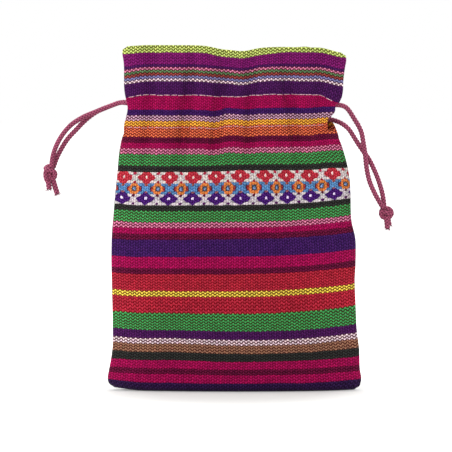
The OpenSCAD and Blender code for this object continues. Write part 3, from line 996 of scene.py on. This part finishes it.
    def place(self, u: Array, z: Array, inset: Number = 0.0, share: Number = 1.0) -> Array:
        """Points of the cloth's outer face, or set in from it.

        Args:
            u: Place across the width, from -1 to 1.
            z: Height on the cloth in millimetres.
            inset: Distance inward from the outer face.
            share: Share of the depth, below 1 under the base.

        Returns:
            Points in millimetres in the row frame.
        """
        u, z, inset = np.broadcast_arrays(*(np.asarray(v, float) for v in (u, z, inset)))
        centre, half = self.edges(z)
        x = centre + (half - EDGE) * u
        edge = self.edge_depth(z)
        bulge = share * (self.half_depth(z) - edge) * self.fullness(u, z)
        depth = edge * np.minimum(1.0, self.base_edge + share) + bulge
        fade = np.clip(1.0 - np.abs(u) ** self.fade_power, 0.0, 1.0)
        y = inset - depth + self.gather(x, z) * fade * GATHERED(z) - self.puff * ROLLED_LIP.at(x, z)
        points = np.stack([x, y, z + self.lift(x, z)], axis=-1)
        return points * (self.side.value, self.side.value, 1.0)

    def rolled(self, end: int, z: Array) -> list[Array]:
        """Columns of the turned edge past one end of the width, from the outer face to the hem inside.

        Args:
            end: Which end, -1 or 1.
            z: Heights of the rows.

        Returns:
            One column of points for each step of the turn.
        """
        s = self.side.value
        edge = self.place(np.full_like(z, end), z)
        full = mix(self.roll_least, 1.0, ROLLED_UP(z))[:, None]
        columns = [edge + full * np.array((s * end * out, s * inward, 0.0)) for out, inward in ROLL]
        half = self.edges(z)[1]
        open_end = LOOSE_HEM(z)[:, None]
        for back, inset in HEM:
            seam = edge + full * np.array((-s * end * back, s * HEM[0][1], 0.0))
            columns.append(mix(seam, self.place(end * (1.0 - back / half), z, inset), open_end))
        return columns

    def rows(self) -> tuple[Array, int]:
        """Rows of the sheet: under the base, round its fold, up the wall, over the top and down inside.

        Returns:
            Height, inset, share of the depth and length along the cloth of every row, and the number up to
            the top.
        """
        turn = self.fold / self.base_half
        flat = 1.0 - turn
        under = np.linspace(self.base_gap, flat, 8)
        rows = [(self.clear, 0.0, s, -self.base_half * (flat - s)) for s in under]
        for a in np.linspace(0.0, 0.5 * np.pi, 9)[1:]:
            z = self.fold * (1.0 - np.cos(a))
            rows.append((z, 0.0, 1.0 - turn * (1.0 - np.sin(a)), z))
        first, last = self.wall_gaps
        rows += [(z, 0.0, 1.0, z) for z in np.arange(self.fold + first, TOP - last, self.row_step)]
        wall = len(rows)
        rows += [(TOP + up, inset, 1.0, TOP + along) for up, inset, along in TOP_FOLD]
        below_top, over_row, under_row = self.inner_gaps
        coarse, fine = self.inner_steps
        above = np.arange(TOP - below_top, UPPER_ROW + over_row, -coarse)
        down = np.concatenate((above, np.arange(UPPER_ROW - under_row, self.hem_end, -fine)))
        near = mix(*self.inner_inset, STOOD_OFF(down))
        inner = mix(near, self.cord_inset, np.clip(through(CORD_ROOM, down), 0.0, 1.0))
        rows += [(z, inset, 1.0, 2.0 * TOP + self.top_turn - z) for z, inset in zip(down, inner)]
        return np.array(rows).T, wall

    def build(self, material: Material) -> Piece:
        """Make the sheet.

        Args:
            material: Finish of the cloth.

        Returns:
            The cloth, with its weave counted in the cloth attribute.
        """
        (z, inset, share, v), wall = self.rows()
        t = np.linspace(-1.0, 1.0, self.columns)
        u = (1.0 - self.crowd) * t + self.crowd * np.sin(0.5 * np.pi * t)
        half = self.edges(z)[1]
        narrow = np.where(np.arange(len(z)) < wall, 1.0, 1.0 - self.inner_margin / half)
        inside = slice(wall + len(TOP_FOLD), None)
        narrow[inside] = mix(narrow[inside], self.inner_half / half[inside], NARROWED(z[inside]))
        points = self.place(u * narrow[:, None], z[:, None], inset[:, None], share[:, None])
        x = self.side.value * points[..., 0]
        up = through(SPACING, v)[:, None] - SLIP.at(x, v[:, None])
        weave = np.stack([self.across(x, z[:, None]), up, np.zeros_like(x)], axis=-1)
        all_points, all_weave = [points.reshape(-1, 3)], [weave.reshape(-1, 3)]
        faces = grid_faces(len(z), self.columns)
        count = x.size
        foot = int(np.searchsorted(z[:wall], self.roll_from))
        tall = wall - foot
        for end, column in ((-1, 0), (1, self.columns - 1)):
            numbers = [np.arange(foot, wall) * self.columns + column]
            for strip, step in zip(self.rolled(end, z[foot:wall]), EDGE_WEAVE):
                numbers.append(np.arange(count, count + tall))
                count += tall
                all_points.append(strip)
                all_weave.append(weave[foot:wall, column] + (end * step, 0.0, 0.0))
            for a, b in zip(numbers, numbers[1:]):
                a, b = (b, a) if end < 0 else (a, b)
                faces += [(a[i], b[i], b[i + 1], a[i + 1]) for i in range(tall - 1)]
        word = self.side.word
        weave = np.concatenate(all_weave)
        cloth = make_object(f"{word}_cloth", np.concatenate(all_points), faces, material, cloth=weave)
        body = cloth.modifiers.new("thickness", "SOLIDIFY")
        body.thickness = self.thickness * MM
        body.offset = -1.0
        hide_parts(f"{word}_panel", f"{word}_heading", f"{word}_casing_outer", f"{word}_casing_inner")
        self.bend(cloth)
        LOG.info("%s: %d faces", cloth.name, len(faces))
        return cloth

    def bend(self, piece: Piece) -> None:
        """Bake the piece's transform into its mesh."""
        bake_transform(piece)


@dataclass
class CasingStitches:
    """A row of running stitches through both layers of a casing, in millimetres.

    A stitch stands proud in its middle and dips at its ends. It is uneven in length, height and slant.
    """

    sheet: ClothSheet
    row: str
    height: float
    radius: float = 0.19
    pitch: float = 3.6
    length: float = 3.3
    margins: tuple[float, float] = (1.6, 0.6)
    proud: float = 0.14
    dip: float = 0.42
    uneven: tuple[float, float, float] = (0.35, 0.18, 0.12)

    def build(self, material: Material) -> Piece:
        """Make the row.

        Args:
            material: Finish of the thread.

        Returns:
            All the stitches of the row as one piece.
        """
        name = f"{self.sheet.side.word}_{self.row}"
        chance = np.random.default_rng(len(f"{name}_row") + int(self.height))
        half = float(self.sheet.edges(np.array(self.height))[1])
        s = np.linspace(0.0, 1.0, 9)
        sink = -self.proud + self.dip * np.abs(2.0 * s - 1.0) ** 6
        first, last = self.margins
        longer, higher, slant = self.uneven
        parts = []
        for start in np.arange(-half + first, half - self.length - last, self.pitch):
            length = self.length + chance.uniform(-longer, longer)
            z = self.height + chance.uniform(-higher, higher)
            across = (start + s * length) / (half - EDGE)
            line = self.sheet.place(across, z + slant * chance.uniform(-1, 1) * (s - 0.5), sink)
            parts.append(Rope(line, self.radius, sides=8, lump=0.0).tube())
        points, faces, _ = join(parts)
        row = make_object(f"{name}_row", points, faces, material)
        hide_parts(f"{name}_stitching")
        self.sheet.bend(row)
        LOG.info("%s: %d stitches", row.name, len(parts))
        return row


@dataclass
class SeamAllowance:
    """Two raw edges of cloth sewn together and turned inside, with the row of stitches that holds them.

    Sizes are in millimetres. The strip ripples and gets thinner by the taper to its free edge.
    """

    name: str
    line: Array
    inward: Point
    nodes: tuple[str, str]
    width: float = 7.0
    thickness: float = 1.5
    pitch: float = 3.6
    length: float = 2.8
    thread: float = 0.27
    seam_in: float = 2.2
    ripple: float = 0.25
    ripple_turn: float = 0.8
    taper: float = 0.25
    margins: tuple[float, float] = (2.0, 4.0)
    proud: float = 0.12
    dip: float = 0.3

    def build(self, cloth: Material, thread: Material) -> None:
        """Make the strip and its stitches.

        Args:
            cloth: Finish of the strip.
            thread: Finish of the stitches.
        """
        inward = np.array(self.inward)
        count = len(self.line)
        wave = self.ripple * np.sin(np.arange(count) * self.ripple_turn)
        shares = np.linspace(0.0, 1.0, 5)
        layers = []
        for sign, order in ((-1.0, shares), (1.0, shares[::-1])):
            for s in order:
                level = sign * 0.5 * self.thickness * (1.0 - self.taper * s) + wave * s
                layers.append(self.line + inward * self.width * s + np.outer(level, (0.0, 1.0, 0.0)))
        points = np.stack(layers, axis=1).reshape(-1, 3)
        weave = np.stack([points[:, 0], points[:, 2], np.zeros(len(points))], axis=1)
        strip = make_object(self.name, points, tube_faces(count, len(layers)), cloth, cloth=weave)
        run = travelled(self.line)
        ends = self.dip * np.abs(np.linspace(-1, 1, 6)) ** 3
        first, last = self.margins
        parts = []
        for start in np.arange(first, run[-1] - last, self.pitch):
            at = np.linspace(start, start + self.length, len(ends))
            line = np.stack([np.interp(at, run, axis) for axis in self.line.T], axis=1)
            line += inward * self.seam_in
            line[:, 1] -= 0.5 * self.thickness + self.proud - ends
            parts.append(Rope(line, self.thread, sides=6, lump=0.0).tube())
        points, faces, _ = join(parts)
        stitches = make_object(f"{self.name}_thread", points, faces, thread)
        for piece, slot, node in zip((strip, stitches), ("seam_cloth", "seam_thread"), self.nodes):
            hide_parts(node)
            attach(piece, "pouch")
        LOG.info("%s: %d stitches", self.name, len(parts))


@dataclass
class Strand:
    """Half of a drawcord on one side: its run in the casing, the lead out of it and the free strand.

    The route has steps in x and z from the start of the free strand, and the sway its depth along the way.
    """

    side: Side
    run_z: float
    exit_x: float
    turn_x: float
    start: Point
    route: Keys
    sway: Keys


@dataclass(frozen=True)
class Fray:
    """Loose fibres at a cut end, in millimetres: their number, thickness and length, and how they spread."""

    hairs: int = 26
    radius: float = 0.11
    spread: float = 1.1
    root: float = 0.4
    length: tuple[float, float] = (0.6, 1.5)
    splay: tuple[float, float] = (0.35, 0.75)
    stray: float = 0.18
    step: float = 0.25

    def build(self, rope: Rope, chance: np.random.Generator) -> list[Mesh]:
        """Make the fibres.

        Args:
            rope: The cord, whose last point is the cut.
            chance: Source of the unevenness.

        Returns:
            One mesh for each fibre.
        """
        tip, way = rope.line[-1], rope.line[-1] - rope.line[-4]
        way = way / np.linalg.norm(way)
        near, far = self.splay
        parts = []
        for _ in range(self.hairs):
            turn, out = chance.uniform(0.0, 2.0 * np.pi), np.sqrt(chance.uniform(0.0, 1.0))
            aside = np.cos(turn) * rope.frames[-1, 0] + np.sin(turn) * rope.frames[-1, 1]
            root = tip + aside * out * self.spread - way * self.root
            length = chance.uniform(*self.length)
            middle = root + (way + near * out * aside) * 0.5 * length
            end = root + (way + far * out * aside + chance.normal(0.0, self.stray, 3)) * length
            parts.append(Rope(spline([root, middle, end], self.step), self.radius, sides=5, lump=0.0).tube())
        return parts


@dataclass
class Drawcord:
    """One braided cord through both casings, knotted outside its slit.

    Sizes are in millimetres. Each stretch overlaps the next, and the lead is a little thinner, so that it
    slides in the strand where the mouth moves.
    """

    hand: Hand
    material: Material
    halves: tuple[Strand, Strand]
    pull: Point
    knot: Point
    wraps: tuple[tuple[Point, ...], ...]
    ends: tuple[Keys, Keys]
    step: float = 0.26
    inset: float = 2.75
    straight: float = 5.5
    straight_keys: tuple[float, float] = (1.8, 3.6)
    handle: float = 4.0
    run_overlap: float = 0.3
    lead_overlap: float = 2.0
    lead_scale: float = 0.965
    turn_overlap: float = 0.2
    bow: float = 6.3
    end_radius: float = 1.4
    end_depth: float = 0.7
    knot_radius: float = 1.2
    fray: Fray = Fray()
    pieces: dict[str, Piece] = field(default_factory=dict)

    def dress(self, name: str, mesh: Mesh, node: str) -> Piece:
        """Make one stretch of the cord.

        Args:
            name: Name after the hand, such as "knot".
            mesh: Vertices, faces and relief.
            node: CAD node that it stands for, by its name after the cord's.

        Returns:
            The new piece.
        """
        points, faces, relief = mesh
        piece = make_object(f"{self.hand.word}_{name}", points, faces, self.material, relief=relief)
        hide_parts(f"{self.hand.word}_cord_{node}")
        self.pieces[name] = piece
        LOG.info("%s: %d faces", piece.name, len(faces))
        return piece

    def lay(self, half: Strand, sheet: ClothSheet) -> tuple[Rope, Array, Array]:
        """Lay one half of the cord through its casing, out of the slit and on to the knot.

        Args:
            half: Which half.
            sheet: The cloth whose casing it runs in.

        Returns:
            The rope, the points of its run in the casing and the end of the bend past the slit.
        """
        pull, start = np.array(self.pull), np.array(half.start)
        x = np.linspace(half.turn_x, half.exit_x, 60)
        z = np.full_like(x, half.run_z)
        centre, width = sheet.edges(z)
        run = sheet.place((half.side.value * x - centre) / (width - EDGE), z, self.inset)
        bend_end = start - self.straight * pull
        out = run[-1] - run[-4]
        out = out / np.linalg.norm(out)
        t = np.linspace(0.0, 1.0, 12)[1:, None]
        lead = (
            (1 - t) ** 3 * run[-1]
            + 3 * (1 - t) ** 2 * t * (run[-1] + self.handle * out)
            + 3 * (1 - t) * t**2 * (bend_end - self.handle * pull)
            + t**3 * bend_end
        )
        depth = through(half.sway, np.linspace(0.0, 1.0, len(half.route)))
        free = [(start[0] + dx, y, start[2] + dz) for (dx, dz), y in zip(half.route, depth)]
        straight = bend_end + np.outer(self.straight_keys, pull)
        return Rope(spline(np.concatenate((run, lead, straight, free)), self.step)), run, bend_end

    def build(self, sheets: dict[Side, ClothSheet]) -> None:
        """Args:
            sheets: The cloth whose casings the cord runs in.
        """
        turns = []
        self.build_knot()
        for half, tail in zip(self.halves, self.ends):
            side = half.side.word
            rope, run, bend_end = self.lay(half, sheets[half.side])
            turns.append(run[0])
            start, end = np.array(half.start), float(rope.run[-1])
            at_exit, at_start = rope.nearest(run[-1]), rope.nearest(start)
            piece = self.dress(f"{side}_run", rope.tube(0.0, at_exit + self.run_overlap), f"{side}_run")
            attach(piece, half.side.lip)
            lead = rope.tube(at_exit, at_start + self.lead_overlap, self.lead_scale)
            piece = self.dress(f"{side}_lead", lead, f"{side}_lead")
            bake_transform(piece)
            piece = self.dress(f"{side}_strand", rope.tube(at_start, end), f"{side}_strand")
            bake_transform(piece)
            self.build_end(side, tail, half.sway[-1][1])
            rope.line[rope.span(at_start, end)] * MM
        self.build_turn(turns)

    def build_turn(self, ends: list[Array]) -> None:
        """Make the two halves of the turn from the front casing to the back one, inside the far slit.

        Args:
            ends: Where the front and the back run end.
        """
        a = np.linspace(0.0, np.pi, 40)[:, None]
        across = mix(ends[0], ends[1], (1.0 - np.cos(a)) / 2.0)
        rope = Rope(spline(across + np.sin(a) * np.array((-self.bow * self.hand.value, 0.0, 0.0)), self.step))
        middle = float(rope.run[-1]) / 2.0
        spans = ((0.0, middle + self.turn_overlap), (middle - self.turn_overlap, np.inf))
        for side, (first, last), end in zip((Side.FRONT, Side.BACK), spans, ends):
            piece = self.dress(f"{side.word}_turn", rope.tube(first, last), "turn")
            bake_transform(piece)

    def build_knot(self) -> None:
        """Make the knot: the doubled cord drawn up into a tight overhand knot, as the wraps that show."""
        lines = [spline(np.array(wrap) + self.knot, self.step) for wrap in self.wraps]
        mesh = join([Rope(line, self.knot_radius).tube() for line in lines])
        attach(self.dress("knot", mesh, "knot"), f"{self.hand.word}_tail")

    def build_end(self, side: str, route: Keys, y: float) -> None:
        """Make a cut end below the knot, with its frayed tip.

        Args:
            side: Which half of the cord.
            route: Steps from the knot's middle.
            y: Depth at which it leaves the knot.
        """
        chance = np.random.default_rng(len(route) + ord(side[0]) + self.hand.value)
        points = [np.array(self.knot) + (dx, y * self.end_depth, dz) for dx, dz in route]
        rope = Rope(spline(points, self.step), self.end_radius)
        parts = [rope.tube(), *self.fray.build(rope, chance)]
        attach(self.dress(f"{side}_end", join(parts), f"{side}_end"), f"{self.hand.word}_tail")


@dataclass(frozen=True)
class Lamp:
    """One soft square lamp: its place and size in metres and its power in watts."""

    name: str
    place: Point
    size: float
    watts: float

    def build(self, target: Vector) -> None:
        """Make the lamp.

        Args:
            target: Point that it is turned to.
        """
        data = bpy.data.lights.new(self.name, "AREA")
        data.size = self.size
        data.energy = self.watts
        lamp = bpy.data.objects.new(self.name, data)
        lamp.location = self.place
        lamp.rotation_euler = (Vector(self.place) - target).to_track_quat("Z", "Y").to_euler()
        bpy.context.scene.collection.objects.link(lamp)


@dataclass
class Studio:
    """Camera, white table and soft light, in metres, and the table's drop below the pouch in mm."""

    target: Point = (-0.0041, -0.006, 0.0848)
    frame_width: float = 0.2314
    elevation: float = 3.5
    lens: float = 300.0
    sensor: float = 36.0
    white: str = "#ffffff"
    room_light: float = 0.4
    clip_start: float = 0.05
    table_half: float = 4.0
    table_drop: float = 0.05
    lamps: tuple[Lamp, ...] = (
        Lamp("key_lamp", (-0.5, -1.0, 0.65), 0.5, 6.6),
        Lamp("fill_lamp", (0.8, -0.9, 0.4), 0.6, 2.0),
        Lamp("top_lamp", (0.0, 0.25, 0.95), 0.9, 10.0),
        Lamp("left_lamp", (-0.9, 0.0, 0.2), 0.4, 3.5),
        Lamp("right_lamp", (0.9, 0.0, 0.2), 0.4, 2.2),
    )

    def build_camera(self) -> None:
        """Make the camera at the front, with the frame's width at the pouch."""
        data = bpy.data.cameras.new("camera")
        data.lens = self.lens
        data.sensor_width = self.sensor
        data.sensor_fit = "HORIZONTAL"
        data.clip_start = self.clip_start
        camera = bpy.data.objects.new("camera", data)
        away = self.lens * self.frame_width / self.sensor
        angle = np.radians(self.elevation)
        aim = Vector((0.0, -np.cos(angle), np.sin(angle)))
        camera.location = Vector(self.target) + away * aim
        camera.rotation_euler = aim.to_track_quat("Z", "Y").to_euler()
        bpy.context.scene.collection.objects.link(camera)
        bpy.context.scene.camera = camera
        LOG.info("camera: %.3f m away", away)

    def build_light(self) -> None:
        """Make the white room, which the camera sees brighter than it lights, and the soft lamps."""
        world = bpy.data.worlds.new("white_room")
        bpy.context.scene.world = world
        world.use_nodes = True
        tree = world.node_tree
        tree.nodes.clear()
        level = add(tree, "MapRange", in_view(tree), 0.0, 1.0, self.room_light, 1.0)
        add(tree, "OutputWorld", add(tree, "Background", linear(self.white), level))
        for lamp in self.lamps:
            lamp.build(Vector(self.target))
        LOG.info("lamps: %d", len(self.lamps))

    def build_table(self) -> None:
        """Make the table top."""
        corners = np.array(((-1, -1, 0), (1, -1, 0), (1, 1, 0), (-1, 1, 0))) * (self.table_half / MM)
        corners -= (0.0, 0.0, self.table_drop)
        table = make_object("table", corners, [(0, 1, 2, 3)], WhiteTable().build())
        LOG.info("table: %.0f m wide", 2.0 * self.table_half)


# Side edges of the pouch as [height, x], shared by both sheets below the slits.
LEFT_WALL = (
    (0.0, -62.0), (1.6, -64.2), (4.0, -65.0), (8.0, -64.6), (14.0, -63.5), (20.0, -62.6),
    (34.0, -62.4), (50.0, -62.7), (78.0, -62.7), (86.0, -62.0), (96.0, -61.2), (112.0, -59.7),
    (122.0, -58.7), (128.0, -57.4),
)
RIGHT_WALL = (
    (0.0, 62.4), (1.6, 64.8), (3.4, 65.4), (10.0, 64.8), (20.0, 64.4), (28.0, 63.3), (40.0, 62.6),
    (54.0, 62.1), (66.0, 62.6), (75.0, 62.3), (83.0, 60.5), (98.0, 59.8), (106.0, 59.4), (113.0, 58.3),
    (120.0, 56.5), (127.0, 54.0),
)
FRONT_LEFT_LIP = (
    (131.5, -56.6), (137.0, -56.2), (141.0, -55.2), (145.0, -54.4), (149.0, -54.8), (154.0, -55.8),
    (170.0, -56.4), (174.5, -57.0), (178.0, -56.2),
)
FRONT_RIGHT_LIP = (
    (131.0, 51.6), (132.2, 48.5), (134.5, 48.0), (137.4, 47.9), (138.8, 48.4), (139.8, 49.5), (140.8, 50.8),
    (142.4, 51.6), (144.6, 51.8), (147.5, 52.4), (150.5, 53.4), (152.5, 54.0), (154.2, 55.0), (156.5, 55.6),
    (161.0, 55.8), (169.0, 56.7), (174.5, 57.3), (178.0, 56.4),
)
BACK_LEFT_LIP = (
    (132.0, -55.8), (138.0, -54.4), (145.0, -53.0), (152.0, -53.4), (162.0, -54.4), (178.0, -55.0),
)
BACK_RIGHT_LIP = (
    (131.0, 53.6), (134.0, 52.6), (136.6, 51.6), (139.0, 50.2), (143.0, 50.4), (155.0, 53.4), (178.0, 55.2),
)


def turned(keys: Keys) -> Keys:
    """The same edge seen from behind."""
    return tuple((z, -x) for z, x in keys)


def describe_cloth() -> dict[Side, ClothSheet]:
    """Describe the two sheets of cloth: the back one has shallower gathers and sinks below the front's top.

    Returns:
        The sheets by side.
    """
    front = ClothSheet(
        Side.FRONT,
        LEFT_WALL + FRONT_LEFT_LIP,
        RIGHT_WALL + FRONT_RIGHT_LIP,
        creases=(
            Crease(-43.5, 3.2, 0.05), Crease(-24.9, 4.3, 0.12), Crease(-8.3, 4.0, 0.1),
            Crease(8.3, 3.7, 0.03), Crease(29.4, 4.3, -0.14), Crease(43.5, 2.8, 0.0),
        ),
        corners=(1.3, 0.2),
        sag=0.0,
        puff=1.6,
    )
    back = ClothSheet(
        Side.BACK,
        turned(RIGHT_WALL + BACK_RIGHT_LIP),
        turned(LEFT_WALL + BACK_LEFT_LIP),
        creases=(
            Crease(-45.0, 1.2, 0.0), Crease(-30.0, 1.6, 0.08), Crease(-11.0, 1.4, -0.05),
            Crease(6.5, 1.6, 0.05), Crease(24.0, 1.3, 0.1), Crease(41.0, 1.5, 0.0),
        ),
        corners=(0.2, 1.3),
        sag=3.2,
        puff=0.0,
    )
    return {sheet.side: sheet for sheet in (front, back)}


def describe_cords(cord: Material) -> tuple[Drawcord, Drawcord]:
    """Describe the two drawcords, with the routes of their free strands from where each one starts.

    Args:
        cord: Finish of both.

    Returns:
        The left and the right drawcord.
    """
    left_x, left_z, left_way = -65.67, 145.2, np.radians(21.0)
    right_x, right_way = 62.74, np.radians(58.0)
    left = Drawcord(
        Hand.LEFT,
        cord,
        (
            Strand(
                Side.FRONT, 148.5, -53.0, 42.5, (left_x, -1.6, left_z),
                (
                    (0, 0), (-5, -2), (-12, -5), (-18, -9), (-23, -15), (-26, -21), (-27.2, -25),
                    (-28.0, -30.5),
                ),
                ((0.0, -1.6), (0.6, -1.6), (1.0, -1.2)),
            ),
            Strand(
                Side.BACK, 149.0, -48.2, 42.5, (left_x, 1.6, left_z),
                (
                    (0, 0), (-4.5, -2), (-9.5, -5.5), (-15, -11), (-20, -16.5), (-23.3, -21.8),
                    (-25.3, -25.8), (-27.0, -30.5),
                ),
                ((0.0, 1.6), (0.6, 1.6), (1.0, 1.2)),
            ),
        ),
        pull=(-np.cos(left_way), 0.0, -np.sin(left_way)),
        knot=(-94.27, 0.0, 111.5),
        wraps=(
            (
                (1.2, 1.0, 3.0), (-0.8, 1.3, 3.6), (-2.3, 0.3, 2.7), (-1.7, -1.5, 2.1), (0.4, -2.0, 1.7),
                (2.0, -1.5, 1.0), (2.5, -0.5, -0.8), (1.7, 0.4, -2.4), (0.2, 1.2, -2.6), (-1.6, 1.1, -1.4),
            ),
            (
                (-0.6, 0.4, 3.4), (-2.0, -0.1, 1.6), (-2.4, -0.6, -0.3), (-2.2, -0.7, -2.2),
                (-1.5, -0.5, -3.9), (-0.8, -0.2, -4.8),
            ),
            ((1.4, 0.6, 3.2), (0.6, 1.3, 0.8), (1.4, 0.9, -1.2), (1.0, 0.3, -3.0)),
            ((0.4, 0.3, 2.6), (-0.3, 0.2, 0.4), (-0.4, 0.2, -1.8), (-0.2, 0.4, -3.4)),
        ),
        ends=(
            ((-0.9, -3.9), (-0.8, -5.6), (-0.6, -7.0), (-0.5, -8.0)),
            ((1.0, -2.2), (1.7, -4.6), (2.6, -7.6), (3.5, -10.4)),
        ),
    )
    right = Drawcord(
        Hand.RIGHT,
        cord,
        (
            Strand(
                Side.FRONT, 145.8, 52.2, -42.5, (right_x, -1.6, 137.7),
                (
                    (0, 0), (2.5, -5), (3.5, -10), (4.5, -16.5), (5.2, -23), (6.7, -30), (9.5, -36.5),
                    (13.8, -44),
                ),
                ((0.0, -1.6), (0.8, -1.4), (1.0, -1.0)),
            ),
            Strand(
                Side.BACK, 139.4, 48.6, -42.5, (right_x, 1.6, 128.2),
                ((0, 0), (3, -4.5), (6.5, -9.5), (9.5, -15.5), (12, -22), (13.6, -27.8), (14.6, -35)),
                ((0.0, 1.6), (0.8, 1.3), (1.0, 1.0)),
            ),
        ),
        pull=(np.cos(right_way), 0.0, -np.sin(right_way)),
        knot=(78.24, 0.0, 91.2),
        wraps=(
            (
                (-0.2, 0.5, 2.5), (-1.7, -0.3, 2.1), (-2.7, -0.7, 0.4), (-2.5, -0.6, -1.3), (-1.3, 0.0, -2.4),
                (0.2, 0.9, -2.4),
            ),
            (
                (-1.5, 1.1, 1.2), (-0.8, 0.0, 2.2), (0.8, -0.9, 2.3), (2.2, -1.2, 1.3), (2.6, -1.0, -0.4),
                (1.9, -0.5, -1.8), (0.7, 0.7, -2.3),
            ),
            (
                (-1.8, 0.5, 0.6), (-1.1, -1.1, 0.3), (0.3, -1.8, 0.1), (1.5, -1.5, -0.4), (1.9, -0.2, -1.0),
                (0.6, 1.2, -0.6),
            ),
            ((-1.2, 0.3, 1.8), (0.2, 0.2, 1.0), (0.6, 0.2, -0.6), (0.2, 0.4, -2.0)),
            ((-1.6, 0.5, 0.6), (-0.9, 0.1, -0.5), (-0.2, 0.2, -1.4), (0.4, 0.6, -2.2)),
        ),
        ends=(
            ((0.1, -1.6), (0.2, -3.8), (0.4, -6.0), (0.5, -7.9)),
            ((0.6, -1.6), (0.9, -3.4), (1.2, -5.0), (1.5, -6.5)),
        ),
    )
    return left, right


def describe_seams(sheet: ClothSheet) -> list[SeamAllowance]:
    """Describe the seam allowances inside the pouch.

    Args:
        sheet: The front cloth, whose edges the side seams follow.

    Returns:
        The left, right and bottom seams.
    """
    above_base, below_slit, edge_in, half_base, base_z = 9.5, 2.0, 1.9, 50.0, 1.6
    z = np.linspace(above_base, SLIT - below_slit, 60)
    seams = []
    for word, end in (("left", -1.0), ("right", 1.0)):
        edge = sheet.place(np.full_like(z, end), z)
        line = np.stack([edge[:, 0] - end * edge_in, np.zeros_like(z), edge[:, 2]], axis=1)
        nodes = (f"{word}_side_seam", f"{word}_seam_stitching")
        seams.append(SeamAllowance(f"{word}_allowance", line, (-end, 0.0, 0.0), nodes))
    x = np.linspace(-half_base, half_base, 50)
    line = np.stack([x, np.zeros_like(x), np.full_like(x, base_z)], axis=1)
    nodes = ("bottom_seam", "bottom_seam_stitching")
    seams.append(SeamAllowance("bottom_allowance", line, (0.0, 0.0, 1.0), nodes, width=6.2))
    return seams


def main() -> None:
    """Build the camera, the cords, the cloth, the stitching and the studio."""
    logging.basicConfig(level=logging.INFO, format="%(name)s: %(message)s")
    bpy.context.scene.view_settings.view_transform = "Standard"
    studio = Studio()
    studio.build_camera()
    cotton = StripedCotton().build()
    cord = BraidedCord().build()
    pale = SewingThread("pale_cotton_thread", "#ecc4cc", "#b88890").build()
    dark = SewingThread("dark_cotton_thread", "#5a2238", "#2e0e1c").build()
    sheets = describe_cloth()
    for drawcord in describe_cords(cord):
        drawcord.build(sheets)
    for side, sheet in sheets.items():
        cloth = sheet.build(cotton)
        rows = [
            CasingStitches(sheet, "upper", UPPER_ROW).build(pale),
            CasingStitches(sheet, "lower", LOWER_ROW, radius=0.14).build(pale),
        ]
    for seam in describe_seams(sheets[Side.FRONT]):
        seam.build(cotton, dark)
    studio.build_table()
    studio.build_light()


if __name__ == "__main__":
    main()
